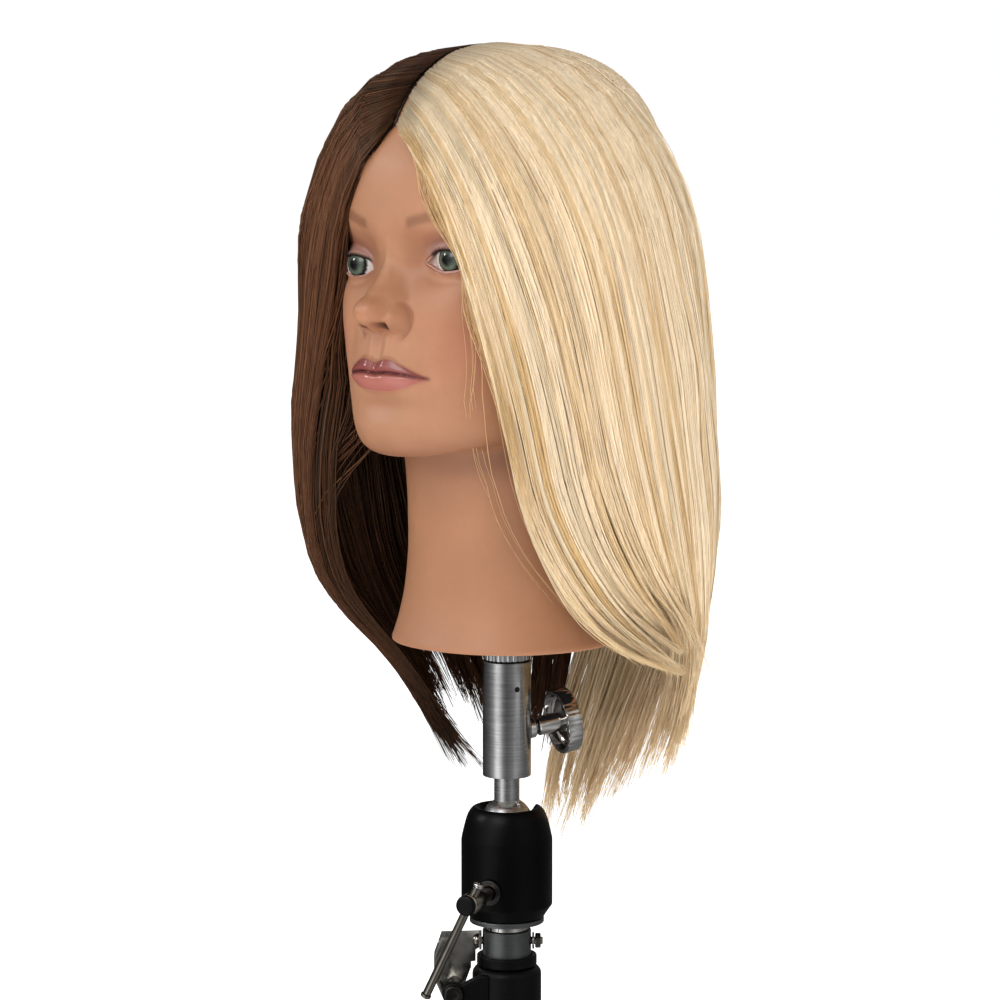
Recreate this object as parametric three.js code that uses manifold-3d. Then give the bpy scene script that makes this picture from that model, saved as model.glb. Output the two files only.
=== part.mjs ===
// Mannequin training head on a swivelling ball-head holder.
// Millimetres, +Z up. The origin is on the column axis at the flat lower end of the column stub.
// The face looks along -Y and the mannequin's left side is +X.
// The stand is turned about Z against the head. Pieces in `stand` use its own x and y axes.
import * as THREE from 'three';
import { mergeVertices } from 'three/addons/utils/BufferGeometryUtils.js';
import Module from 'manifold-3d';

const wasm = await Module();
wasm.setup();

const radians = THREE.MathUtils.degToRad;

// ---------------------------------------------------------------- driving dimensions
const STAND_TURN = radians(42);
const GAP = 0.3; // clearance between neighbouring pieces

// Column and shaft
const COLUMN_R = 18.2;
const COLUMN_TOP = 63;
const COLUMN_ROUND = 4.5; // rounding of the top edge
const SLEEVE_R = 12.8;
const SLEEVE_TOP = 82.2;
const SLEEVE_FIT_R = SLEEVE_R + GAP; // bore of the pieces around the sleeve
const COLLAR_R = 15.8;
const COLLAR_TOP = 69;
const SPIGOT_R = 9.9;
const SPINDLE_R = 11.4;
const JOURNAL_R = 4.9;
const FLANGE_R = 19.6;
const FLANGE_BOTTOM = 86.5;
const FLANGE_TOP = 89.1;
const FLANGE_BEVEL = 0.6;
const CROSS_Z = 76; // cross bolt
const CROSS_HOLE_R = 2.3;
const PIVOT = { x: -28, z: 51 }; // stay pivot
const PIVOT_HOLE_R = 2.2;
const STAY_SHEET = 1.6;

// Ball head
const BALL_R = 13.95;
const BALL_Z = 139.1;
const BALL_SEAT_R = 14.35; // spherical faces around the ball
const HOUSING_R = 24;
const HOUSING_FOOT_R = HOUSING_R - 4.3;
const HOUSING_BOTTOM = 89.7;
const HOUSING_TOP = 148.1;
const CAVITY_R = 14.6;
const BASE_BORE_R = 15.6; // wider bore below the cavity
const BASE_BORE_TOP = 96.6;
const SLOT_HALF = 7.6; // drop slot for the 90 degree tilt
const STUD_R = 6.7;
const STUD_TOP = 198;

// Holder
const TUBE_R = 12.7;
const TUBE_BORE_R = 11.1;
const TUBE_BOTTOM = 164.7;
const TUBE_TOP = 225.8;
const TUBE_BEVEL = 0.5;
const POST_R = 11.9;
const POST_TOP = 299;
const PIN_HOLE_R = 1.45; // set screw through tube and post
const KNURL = { radius: 11.8, depth: 0.55, teeth: 24, bore: 9.3, z: 226.1, height: 11.1 };
const COLLAR_SCREW_Z = 231.4;

// Clamp knob; distances run along its axis from the tube axis
const KNOB_Z = 187.1;
const KNOB_YAW = radians(22);
const KNOB_PITCH = radians(8);
const KNOB_R = 17.3;
const KNOB_INNER = 28.3; // open side
const KNOB_OUTER = KNOB_INNER + 8.4;
const KNOB_SCREW_HOLE_R = 3.9;
const KNOB_GROOVES = 24;

// Lock screw and tommy bar
const LOCK_Z = 106.7;
const LOCK_YAW = radians(22);
const LOCK_R = 3.5;
const LOCK_END = 55.1;
const BAR_DISTANCE = 51; // from the column axis
const BAR_R = 2.25;
const BAR_UP = 9.8; // free length above the screw
const BAR_DOWN = 55.2;
const BAR_LEAN = radians(26);

// Head and hair
const NECK_Z = 237.4; // flat underside of the neck
const HAIR_CUT_Z = NECK_Z; // fixed hair above, loose ends below
const SKIN_WALL = 5;
const HAIR_SPLIT = 0.35; // from the middle plane to each half of the hair
const EYE_R = 12;
const EYE = { x: 31, y: -68.6, z: 437 };

// ---------------------------------------------------------------- axes
// horizontal direction, its angle measured from -Y toward +X
const horizontal = (angle) => [Math.sin(angle), -Math.cos(angle), 0];
const LOCK_DIR = horizontal(-LOCK_YAW);

const CROSS_AXIS = { origin: [0, 0, CROSS_Z], direction: [1, 0, 0] };
const PIVOT_AXIS = { origin: [PIVOT.x, 0, PIVOT.z], direction: [0, -1, 0] };
const LOCK_AXIS = { origin: [0, 0, LOCK_Z], direction: LOCK_DIR };
const BAR_AXIS = {
  origin: [LOCK_DIR[0] * BAR_DISTANCE, LOCK_DIR[1] * BAR_DISTANCE, LOCK_Z],
  direction: [
    Math.cos(LOCK_YAW) * Math.sin(BAR_LEAN),
    -Math.sin(LOCK_YAW) * Math.sin(BAR_LEAN),
    Math.cos(BAR_LEAN),
  ],
};
const KNOB_AXIS = {
  origin: [0, 0, KNOB_Z],
  direction: [
    Math.cos(KNOB_YAW) * Math.cos(KNOB_PITCH),
    Math.sin(KNOB_YAW) * Math.cos(KNOB_PITCH),
    Math.sin(KNOB_PITCH),
  ],
};
const PIN_AXIS = { origin: [0, 0, 212], direction: horizontal(radians(25)) };

// ---------------------------------------------------------------- materials
const looks = {
  skin: { color: 0xba8563, roughness: 0.5, metalness: 0 },
  eye: { color: 0xbaaba2, roughness: 0.15, metalness: 0 },
  hairBlonde: { color: 0xd4b892, roughness: 0.45, metalness: 0 },
  hairBrown: { color: 0x2b170d, roughness: 0.4, metalness: 0 },
  plastic: { color: 0x2a2a2a, roughness: 0.6, metalness: 0 },
  nylon: { color: 0xd8d4c8, roughness: 0.5, metalness: 0 },
  black: { color: 0x0b0b0d, roughness: 0.45, metalness: 0.1 },
  aluminium: { color: 0xb4b6b8, roughness: 0.32, metalness: 1 },
  chrome: { color: 0xd2d4d6, roughness: 0.1, metalness: 1 },
  steel: { color: 0x8d8f90, roughness: 0.35, metalness: 1 },
  dark: { color: 0x2b2b2c, roughness: 0.45, metalness: 0.8 },
  brass: { color: 0xc39a4a, roughness: 0.3, metalness: 1 },
  satin: { color: 0x43454a, roughness: 0.4, metalness: 0.7 },
};

// ---------------------------------------------------------------- helpers
const root = new THREE.Group();
const stand = new THREE.Group();
stand.rotation.z = STAND_TURN;
root.add(stand);

// keeps positions only, welds them, drops collapsed triangles and turns the faces outward
function clean(source) {
  for (const name of Object.keys(source.attributes)) {
    if (name !== 'position') source.deleteAttribute(name);
  }
  const geometry = mergeVertices(source, 1e-4);
  const position = geometry.attributes.position;
  const index = geometry.index.array;
  const corners = [0, 1, 2].map(() => new THREE.Vector3());
  const kept = [];
  let volume = 0;
  for (let i = 0; i < index.length; i += 3) {
    const face = [index[i], index[i + 1], index[i + 2]];
    if (new Set(face).size < 3) continue;
    kept.push(...face);
    corners.forEach((corner, k) => corner.fromBufferAttribute(position, face[k]));
    volume += corners[0].dot(corners[1].cross(corners[2])) / 6;
  }
  if (volume < 0) {
    for (let i = 0; i < kept.length; i += 3) {
      [kept[i + 1], kept[i + 2]] = [kept[i + 2], kept[i + 1]];
    }
  }
  geometry.setIndex(kept);
  return geometry;
}

function solid(source) {
  const geometry = clean(source);
  return new wasm.Manifold(new wasm.Mesh({
    numProp: 3,
    vertProperties: new Float32Array(geometry.attributes.position.array),
    triVerts: new Uint32Array(geometry.index.array),
  }));
}

// geometry of the largest connected part
function geometryOf(manifold) {
  const parts = manifold.decompose();
  const largest = parts.reduce((best, part) => (part.volume() > best.volume() ? part : best));
  const mesh = largest.getMesh();
  const geometry = new THREE.BufferGeometry();
  const vertices = new Float32Array(mesh.vertProperties);
  geometry.setAttribute('position', new THREE.BufferAttribute(vertices, 3));
  geometry.setIndex(new THREE.BufferAttribute(new Uint32Array(mesh.triVerts), 1));
  return geometry;
}

function add(group, name, shape, look) {
  const geometry = shape instanceof THREE.BufferGeometry ? clean(shape) : geometryOf(shape);
  geometry.computeVertexNormals();
  const mesh = new THREE.Mesh(geometry, new THREE.MeshStandardMaterial({ ...looks[look] }));
  mesh.name = name;
  group.add(mesh);
}

// revolves a profile of [radius, z] points about +Z
function lathe(profile, segments) {
  const points = profile.map(([r, z]) => new THREE.Vector2(Math.max(r, 0), z));
  return new THREE.LatheGeometry(points, segments).rotateX(Math.PI / 2);
}

const ring = (inner, outer, z0, z1, segments) => lathe(
  [[inner, z0], [outer, z0], [outer, z1], [inner, z1], [inner, z0]], segments);

const rod = (radius, z0, z1, segments) => lathe(
  [[0, z0], [radius, z0], [radius, z1], [0, z1]], segments);

// moves a geometry built about +Z onto an axis
function aim(geometry, { origin, direction }) {
  const z = new THREE.Vector3(...direction).normalize();
  const isSteep = Math.abs(z.z) > 0.95;
  const up = isSteep ? new THREE.Vector3(1, 0, 0) : new THREE.Vector3(0, 0, 1);
  const x = new THREE.Vector3().crossVectors(up, z).normalize();
  const y = new THREE.Vector3().crossVectors(z, x);
  return geometry.applyMatrix4(new THREE.Matrix4().makeBasis(x, y, z).setPosition(...origin));
}

// cuts a round hole between two distances along an axis
function drill(piece, radius, from, to, segments, axis) {
  return piece.subtract(solid(aim(rod(radius, from, to, segments), axis)));
}

// points on a circle, angles in degrees
function arc(centreR, centreZ, radius, startAngle, endAngle, steps) {
  return Array.from({ length: steps + 1 }, (_, i) => {
    const angle = radians(startAngle + (endAngle - startAngle) * i / steps);
    return [centreR + radius * Math.cos(angle), centreZ + radius * Math.sin(angle)];
  });
}

const outline = (points) => new THREE.Shape(points.map(([x, y]) => new THREE.Vector2(x, y)));

function extrude(shape, depth, curveSegments = 12) {
  return new THREE.ExtrudeGeometry(shape, { depth, curveSegments, bevelEnabled: false });
}

// solid from an outline of [x, z] points, extruded from y0 to y1
function plate(points, y0, y1) {
  return solid(extrude(outline(points), y1 - y0).rotateX(Math.PI / 2).translate(0, y1, 0));
}

function closedOutline(points, bore = 0) {
  const shape = outline(points);
  shape.closePath();
  if (bore > 0) {
    const hole = new THREE.Path();
    hole.absarc(0, 0, bore, 0, Math.PI * 2, true);
    shape.holes.push(hole);
  }
  return shape;
}

function hexPrism({ acrossFlats, bore, depth, curveSegments }) {
  const radius = acrossFlats / Math.sqrt(3);
  const points = Array.from({ length: 6 }, (_, i) => {
    const angle = i * Math.PI / 3;
    return [radius * Math.cos(angle), radius * Math.sin(angle)];
  });
  return extrude(closedOutline(points, bore), depth, curveSegments);
}

// ---------------------------------------------------------------- column (fixed)
// moulded column head, open below, with the ear that carries the stay pivot
function columnHead() {
  const body = solid(lathe([
    [SLEEVE_FIT_R, 0], [COLUMN_R, 0], [COLUMN_R, COLUMN_TOP - COLUMN_ROUND],
    ...arc(COLUMN_R - COLUMN_ROUND, COLUMN_TOP - COLUMN_ROUND, COLUMN_ROUND, 22, 68, 2),
    [COLUMN_R - COLUMN_ROUND, COLUMN_TOP], [SLEEVE_FIT_R, COLUMN_TOP], [SLEEVE_FIT_R, 0],
  ], 28));
  const ear = plate([
    [-9.5, 61], [-24.2, 55.4], ...arc(PIVOT.x, PIVOT.z, 6, 60, 270, 6), [-14, 38], [-9.5, 38],
  ], -16.5, -10.5);
  const bored = body.add(ear).subtract(solid(rod(SLEEVE_FIT_R, -5, 80, 28)));
  return drill(bored, PIVOT_HOLE_R, -30, 30, 16, PIVOT_AXIS);
}
add(stand, 'column_head', columnHead(), 'black');

const neckSleeve = solid(ring(10.2, SLEEVE_R, 0, SLEEVE_TOP, 24));
add(stand, 'neck_sleeve', drill(neckSleeve, CROSS_HOLE_R, -30, 30, 16, CROSS_AXIS), 'satin');

add(stand, 'column_collar', lathe([
  [SLEEVE_FIT_R, COLUMN_TOP + GAP], [COLLAR_R, COLUMN_TOP + GAP], [COLLAR_R, COLLAR_TOP - 1],
  [COLLAR_R - 1, COLLAR_TOP], [SLEEVE_FIT_R, COLLAR_TOP], [SLEEVE_FIT_R, COLUMN_TOP + GAP],
], 32), 'black');

// shaft: spigot in the sleeve, shoulder above it, pan journal through the flange
function spindle() {
  const shoulderBottom = SLEEVE_TOP + 0.2;
  const shoulderTop = FLANGE_BOTTOM - 0.05;
  const shaft = solid(lathe([
    [0, 0], [SPIGOT_R, 0], [SPIGOT_R, shoulderBottom], [SPINDLE_R, shoulderBottom],
    [SPINDLE_R, shoulderTop], [JOURNAL_R, shoulderTop], [JOURNAL_R, 100], [4.2, 101.2], [0, 101.2],
  ], 20));
  return drill(shaft, CROSS_HOLE_R, -30, 30, 16, CROSS_AXIS);
}
add(stand, 'spindle', spindle(), 'chrome');

add(stand, 'base_flange', lathe([
  [5.2, FLANGE_BOTTOM], [FLANGE_R - FLANGE_BEVEL, FLANGE_BOTTOM],
  [FLANGE_R, FLANGE_BOTTOM + FLANGE_BEVEL], [FLANGE_R, FLANGE_TOP - FLANGE_BEVEL],
  [FLANGE_R - FLANGE_BEVEL, FLANGE_TOP], [5.2, FLANGE_TOP], [5.2, FLANGE_BOTTOM],
], 32), 'satin');

const panNut = hexPrism({ acrossFlats: 11, bore: 5.2, depth: 3.6, curveSegments: 10 });
add(stand, 'pan_nut', panNut.translate(0, 0, 96.5), 'steel');

// cross bolt through sleeve and shaft, its head on the -x side
const crossBolt = lathe([
  [0, -17.6], [1.5, -17.6], [2.6, -17.2], [3.3, -16.2], [3.6, -14.9],
  [2.0, -14.9], [2.0, 18.6], [1.6, 19], [0, 19],
], 16);
add(stand, 'cross_bolt', crossBolt.rotateY(Math.PI / 2).translate(0, 0, CROSS_Z), 'chrome');

const crossNut = hexPrism({ acrossFlats: 7, bore: 2.3, depth: 3, curveSegments: 6 });
add(stand, 'cross_nut', crossNut.rotateY(Math.PI / 2).translate(14.9, 0, CROSS_Z), 'chrome');
add(stand, 'cross_washer', aim(ring(2.3, 4.4, 13.4, 14.4, 20), CROSS_AXIS), 'chrome');

// pressed steel stay, a U channel on the +y side of the ear, gripped by the cross bolt
function stayBracket() {
  const nearY = -8.8;
  const farY = 6.2;
  const farCheek = plate([
    [-13.3, 72], [-13.3, 80], [-34.5, 79.5], [-38.4, 68.5], [-38.4, 60], [-34, 49], [-30.5, 44],
    [-25, 45.5], [-21.5, 53.5], [-18.9, 60.5], [-18.9, 63.4], [-16.5, 63.8], [-16.5, 69.8],
  ], farY - STAY_SHEET, farY);
  const web = plate([
    [-38.4, 68.5], [-34.5, 79.5], [-32.4, 79.5], [-36.8, 68.2], [-36.8, 58.5],
    [-31, 44.4], [-32.6, 44.4], [-38.4, 58],
  ], nearY, 4.7);
  const nearLip = plate(
    [[-38.4, 68.5], [-34.5, 79.5], [-29.4, 79.5], [-33, 68.5]], nearY, nearY + STAY_SHEET);
  const boltTab = plate([[-14.6, 72], [-14.6, 80], [-13.3, 80], [-13.3, 72]], -4, farY);
  const channel = farCheek.add(web).add(nearLip).add(boltTab);
  const pivoted = drill(channel, PIVOT_HOLE_R, -30, 30, 12, PIVOT_AXIS);
  return drill(pivoted, 2.4, -40, 40, 12, CROSS_AXIS);
}
add(stand, 'stay_bracket', stayBracket(), 'steel');

// pivot bolt, its head on the -y side of the stand
add(stand, 'pivot_bolt', aim(lathe([
  [0, -9.6], [1.9, -9.6], [1.9, 16.9], [5.5, 16.9], [5.5, 18.6],
  [4.6, 20.2], [2.6, 20.2], [2.2, 19.2], [0, 19.2],
], 20), PIVOT_AXIS), 'dark');
add(stand, 'pivot_spacer', aim(ring(2.3, 4.1, -4.2, 10.1, 16), PIVOT_AXIS), 'chrome');
const pivotNut = hexPrism({ acrossFlats: 7, bore: 2.3, depth: 2.8, curveSegments: 6 });
add(stand, 'pivot_nut', aim(pivotNut.translate(0, 0, -9.4), PIVOT_AXIS), 'steel');

// ---------------------------------------------------------------- ball head (turns on the flange)
function ballHousing() {
  const body = solid(lathe([
    [HOUSING_FOOT_R, HOUSING_BOTTOM], [HOUSING_R, 96.2], [HOUSING_R, 131.1], [22.4, 139.2],
    [21.2, 143.2], [20.2, 145.9], [18.2, 147.8], [16.6, HOUSING_TOP], [15, 147.2], [13.9, 145.6],
    ...arc(0, BALL_Z, BALL_SEAT_R, 25, 7, 2), // lip over the ball
    [CAVITY_R, BALL_Z], [CAVITY_R, BASE_BORE_TOP], [BASE_BORE_R, BASE_BORE_TOP],
    [BASE_BORE_R, HOUSING_BOTTOM], [HOUSING_FOOT_R, HOUSING_BOTTOM],
  ], 30));
  // drop slot toward +Y of the head, with a round lower end
  const slot = new THREE.BoxGeometry(SLOT_HALF * 2, 40, 40).translate(0, 20, BALL_Z + 20);
  const slotEnd = aim(rod(SLOT_HALF, 0, 40, 16), { origin: [0, 0, BALL_Z], direction: [0, 1, 0] });
  const lockHole = aim(rod(LOCK_R + GAP, 5, 60, 12), LOCK_AXIS).rotateZ(STAND_TURN);
  return body.subtract(solid(slot).add(solid(slotEnd))).subtract(solid(lockHole));
}
add(root, 'ball_housing', ballHousing(), 'black');

add(root, 'housing_base_plug', lathe([
  [5.3, 90.1], [15.2, 90.1], [15.2, 96.3], [14.2, 96.3], [14.2, 95.9], [5.3, 95.9], [5.3, 90.1],
], 24), 'aluminium');
add(root, 'pan_washer', ring(5.3, BASE_BORE_R, 89.2, 89.6, 24), 'nylon');
add(root, 'ball_seat', lathe([
  [0, 117.2], [4, 117.2], [5, 116.2], [13.4, 116.2], [14.2, 117], [14.2, 130.2],
  ...arc(0, BALL_Z, BALL_SEAT_R, -40, -90, 5),
], 20), 'nylon');

// wedge plunger with a coned recess that the screw point lifts
function wedgePlunger() {
  const body = solid(lathe([
    [0, 102], [9.2, 102], [9.2, 102.9], [6.4, 103.1], [6.4, 115.4], [6, 115.9], [0, 115.9],
  ], 20));
  const coneR = LOCK_R + 0.6;
  const cone = aim(
    lathe([[0, 1.2], [coneR, 6.4], [coneR, 30], [0, 30]], 14),
    { origin: [0, 0, LOCK_Z + 1], direction: LOCK_DIR },
  );
  return body.subtract(solid(cone.rotateZ(STAND_TURN)));
}
add(root, 'wedge_plunger', wedgePlunger(), 'brass');

// preload spring between base plug and plunger
class SpringHelix extends THREE.Curve {
  getPoint(t, target = new THREE.Vector3()) {
    const [coilR, turns, bottom, rise] = [8.3, 1.6, 96.9, 4.2];
    const angle = t * Math.PI * 2 * turns;
    return target.set(coilR * Math.cos(angle), coilR * Math.sin(angle), bottom + t * rise);
  }
}

function preloadSpring() {
  const wire = new THREE.Shape();
  wire.absarc(0, 0, 0.6, 0, Math.PI * 2, false);
  return new THREE.ExtrudeGeometry(wire, {
    steps: 28,
    curveSegments: 3,
    extrudePath: new SpringHelix(),
    bevelEnabled: false,
  });
}
add(root, 'preload_spring', preloadSpring(), 'steel');

// ---------------------------------------------------------------- lock screw and tommy bar
const lockScrew = solid(aim(lathe([
  [0, 3.2], [LOCK_R, 7.6], [LOCK_R, 39.2], [4.6, 39.8], [5.5, 40.8],
  [5.5, LOCK_END - 0.5], [4.9, LOCK_END], [0, LOCK_END],
], 20), LOCK_AXIS));
add(stand, 'lock_screw', drill(lockScrew, BAR_R + 0.2, -20, 20, 20, BAR_AXIS), 'brass');
add(stand, 'lock_washer', aim(ring(3.8, 6.6, 24.5, 25.7, 24), LOCK_AXIS), 'brass');
add(stand, 'lock_cap', aim(lathe([
  [0, LOCK_END + GAP], [5.2, LOCK_END + GAP], [5.4, 56.2], [4.6, 57.6], [0, 58],
], 24), LOCK_AXIS), 'black');
add(stand, 'tommy_bar', aim(rod(BAR_R, -BAR_DOWN, BAR_UP, 20), BAR_AXIS), 'chrome');
add(stand, 'bar_collar', aim(lathe([
  [0, -BAR_DOWN - 2.3], [2, -BAR_DOWN - 2.3], [2.8, -BAR_DOWN - 1.6],
  [2.8, -BAR_DOWN - GAP], [0, -BAR_DOWN - GAP],
], 20), BAR_AXIS), 'chrome');
add(stand, 'bar_cap', aim(lathe([
  [0, BAR_UP + GAP], [2.8, BAR_UP + GAP], [2.8, BAR_UP + 1.8], [2, BAR_UP + 2.6], [0, BAR_UP + 2.9],
], 20), BAR_AXIS), 'chrome');

// ---------------------------------------------------------------- ball stud (tilts in the housing)
add(root, 'ball_stud', solid(lathe([
  [0, BALL_Z - BALL_R], ...arc(0, BALL_Z, BALL_R, -90, 60, 10).slice(1),
  [STUD_R, 151.6], [STUD_R, STUD_TOP - 0.6], [STUD_R - 0.6, STUD_TOP],
  [2.3, STUD_TOP], [2.3, 186], [0, 185], // screw hole
], 24)), 'aluminium');
add(root, 'stud_washer', ring(2.4, 9.4, STUD_TOP + GAP, 199.6, 20), 'steel');

const studScrew = solid(lathe(
  [[0, 187], [2, 187], [2, 199.9], [4.4, 199.9], [4.4, 203.4], [0, 203.4]], 20));
const studSocket = hexPrism({ acrossFlats: 3, depth: 6 }).translate(0, 0, 201.2);
add(root, 'stud_screw', studScrew.subtract(solid(studSocket)), 'dark');

// ---------------------------------------------------------------- holder (swivels on the stud)
function holderTube() {
  const tube = solid(lathe([
    [TUBE_BORE_R, TUBE_BOTTOM], [TUBE_R - TUBE_BEVEL, TUBE_BOTTOM],
    [TUBE_R, TUBE_BOTTOM + TUBE_BEVEL], [TUBE_R, TUBE_TOP - TUBE_BEVEL],
    [TUBE_R - TUBE_BEVEL, TUBE_TOP], [TUBE_BORE_R, TUBE_TOP], [TUBE_BORE_R, TUBE_BOTTOM],
  ], 28));
  const knobDrilled = drill(tube, KNOB_SCREW_HOLE_R, 5, 40, 20, KNOB_AXIS);
  return drill(knobDrilled, PIN_HOLE_R, 5, 30, 14, PIN_AXIS);
}
add(stand, 'holder_tube', holderTube(), 'aluminium');
add(stand, 'post_set_screw', aim(rod(1.2, 10.6, 12.2, 12), PIN_AXIS), 'dark');

const bush = solid(ring(STUD_R + 0.25, TUBE_BORE_R - 0.2, 165.1, 197.6, 20));
add(stand, 'swivel_bush', drill(bush, KNOB_SCREW_HOLE_R, 5, 40, 20, KNOB_AXIS), 'nylon');

const post = solid(lathe([
  [0, 206], [9.8, 206], [10.7, 207], [10.7, 225.4], [8.9, 225.6], [8.9, 237.5], [POST_R, 237.5],
  [POST_R - 0.7, POST_TOP - 3], [POST_R - 3, POST_TOP], [0, POST_TOP],
], 20));
add(stand, 'adapter_post', drill(post, PIN_HOLE_R, 9.9, 30, 14, PIN_AXIS), 'plastic');

// collar with shallow teeth: one root point and two crest points per tooth
function knurledBlank() {
  const points = [];
  for (let i = 0; i < KNURL.teeth; i++) {
    for (const [fraction, depth] of [[0, KNURL.depth], [0.35, 0], [0.65, 0]]) {
      const angle = (i + fraction) / KNURL.teeth * Math.PI * 2;
      const radius = KNURL.radius - depth;
      points.push([radius * Math.cos(angle), radius * Math.sin(angle)]);
    }
  }
  return solid(extrude(closedOutline(points, KNURL.bore), KNURL.height).translate(0, 0, KNURL.z));
}

let knurledCollar = knurledBlank();
for (const [i, angle] of [-60, 60, 180].entries()) {
  const axis = { origin: [0, 0, COLLAR_SCREW_Z], direction: horizontal(radians(angle)) };
  knurledCollar = drill(knurledCollar, 1.9, 5, 20, 12, axis);
  add(stand, `set_screw_${i + 1}`, aim(lathe(
    [[0, 9.2], [1.6, 9.2], [1.6, 11], [0.8, 11], [0.8, 10.2], [0, 10.2]], 12), axis), 'dark');
}
add(stand, 'knurled_collar', knurledCollar, 'aluminium');

// ---------------------------------------------------------------- clamp knob
// boss saddled on the outside of the tube
const knobBoss = solid(aim(lathe([
  [3.9, 9], [5.6, 9], [5.6, 14.8], [5, 15.4], [3.9, 15.4], [3.9, 9],
], 20), KNOB_AXIS));
add(stand, 'knob_boss', knobBoss.subtract(solid(rod(TUBE_R + GAP, 150, 230, 24))), 'chrome');

add(stand, 'knob_screw', aim(lathe([
  [0, STUD_R + 0.9], [1.5, STUD_R + 0.9], [3.4, STUD_R + 2.6], [3.4, 17.0],
  [3.1, 17.2], [3.1, 28.5], [0, 28.5],
], 18), KNOB_AXIS), 'steel');

// dished body: hub toward the tube, hollow ring, closed outer face, grooved rim
function clampKnob() {
  let knob = solid(lathe([
    [3.4, 17.4], [4.1, 17.4], [4.5, 17.9], [4.5, KNOB_INNER + 3.2], [7, KNOB_INNER + 4.6],
    [14.2, KNOB_INNER + 4], [14.9, KNOB_INNER], [KNOB_R - 0.7, KNOB_INNER],
    [KNOB_R, KNOB_INNER + 0.7], [KNOB_R, KNOB_OUTER - 1], [KNOB_R - 1, KNOB_OUTER],
    [6, KNOB_OUTER + 0.6], [0, KNOB_OUTER + 0.8], [0, 28.8], [3.4, 28.8], [3.4, 17.4],
  ], 24));
  const grooveDistance = KNOB_R + 0.6;
  for (let i = 0; i < KNOB_GROOVES; i++) {
    const angle = i / KNOB_GROOVES * Math.PI * 2;
    const groove = rod(1, KNOB_INNER - 2, KNOB_OUTER + 3, 6);
    groove.translate(grooveDistance * Math.cos(angle), grooveDistance * Math.sin(angle), 0);
    knob = knob.subtract(solid(groove));
  }
  return aim(geometryOf(knob), KNOB_AXIS);
}
add(stand, 'clamp_knob', clampKnob(), 'chrome');

// ---------------------------------------------------------------- head
// Section tables: [z, half width, front y, back y, roundness exponent (2 is an ellipse)]
const headRings = [
  [338.5, 10, -84, -62, 2], [346, 30, -90.5, -38, 2.1], [354, 39, -91, -14, 2.2],
  [364, 47, -91, 20, 2.2], [376, 54, -92, 52, 2.2], [390, 59, -93, 70, 2.2],
  [420, 68, -89.5, 84, 2.2], [440, 72.5, -87, 87, 2.2], [459, 75, -91, 88, 2.2],
  [478, 75.5, -91, 87, 2.15], [496, 72.5, -86, 82, 2.1], [511, 66, -77, 73, 2.1],
  [523, 56, -64, 60, 2], [532, 43, -48, 43, 2], [537.5, 29, -34, 27, 2], [540.2, 14, -19, 8, 2],
];
const neckRings = [
  [NECK_Z, 58.2, -58.6, 57.5, 2], [252, 54.8, -54.8, 55.5, 2], [266, 52, -52, 53.5, 2],
  [310, 50, -50.8, 53.5, 2], [330, 50.6, -51.8, 56.5, 2], [352, 54, -52, 66, 2],
  [400, 50, -40, 76, 2],
];
// heights of the sections that shape the hollow, and of those that shape nothing else
const headHollowZ = [364, 390, 420, 459, 496, 523, 537.5];
const neckHollowZ = [266, 330, 400];
const hollowOnlyZ = [330, 364, 537.5];

// [centre, radii]
const faceLumps = [
  [[0, -96, 424], [9, 14, 22]], // nose
  [[0, -99.5, 414], [14.5, 14, 9]], // lower nose
  [[0, -91, 382], [24, 9.5, 10]], // lips
  [[0, -79, 352], [20, 15, 13]], // chin
  [[0, -80, 461], [44, 12.5, 8]], // brow
  [[78, 6, 426], [8, 14, 27]], // left ear
  [[-78, 6, 426], [8, 14, 27]], // right ear
];

// a revolved unit profile whose rings are then set to their own section, grown outward
function loft(rings, grow, segments) {
  const last = rings.length - 1;
  const geometry = lathe([[0, 0], ...rings.map((_, i) => [1, i]), [0, last]], segments);
  const position = geometry.attributes.position;
  const superellipse = (unit, exponent) => Math.sign(unit) * Math.abs(unit) ** (2 / exponent);
  for (let i = 0; i < position.count; i++) {
    const x = position.getX(i);
    const y = position.getY(i);
    const level = Math.round(position.getZ(i));
    const [ringZ, halfWidth, front, back, exponent] = rings[level];
    const radius = Math.hypot(x, y);
    const centreY = (front + back) / 2;
    let z = ringZ;
    if (level === last) z += grow;
    if (level === 0) z -= grow;
    if (radius < 1e-6) {
      position.setXYZ(i, 0, centreY, z);
      continue;
    }
    const halfDepth = (back - front) / 2;
    position.setXYZ(
      i,
      (halfWidth + grow) * superellipse(x / radius, exponent),
      centreY + (halfDepth + grow) * superellipse(y / radius, exponent),
      z,
    );
  }
  return solid(geometry);
}

function ellipsoid(centre, radii, around, along) {
  return solid(new THREE.SphereGeometry(1, around, along).scale(...radii).translate(...centre));
}

// outer surface of the casting, grown outward by a distance
function skinSolid(grow) {
  const outer = (rings) => rings.filter(([z]) => !hollowOnlyZ.includes(z));
  let skin = loft(outer(headRings), grow, 24).add(loft(outer(neckRings), grow, 24));
  for (const [centre, radii] of faceLumps) {
    skin = skin.add(ellipsoid(centre, radii.map((radius) => radius + grow), 10, 6));
  }
  return skin;
}

function insetRings(rings, heights) {
  return rings
    .filter(([z]) => heights.includes(z))
    .map(([z, halfWidth, front, back, exponent]) => (
      [z, halfWidth - SKIN_WALL, front + SKIN_WALL, back - SKIN_WALL, exponent]));
}

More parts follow.
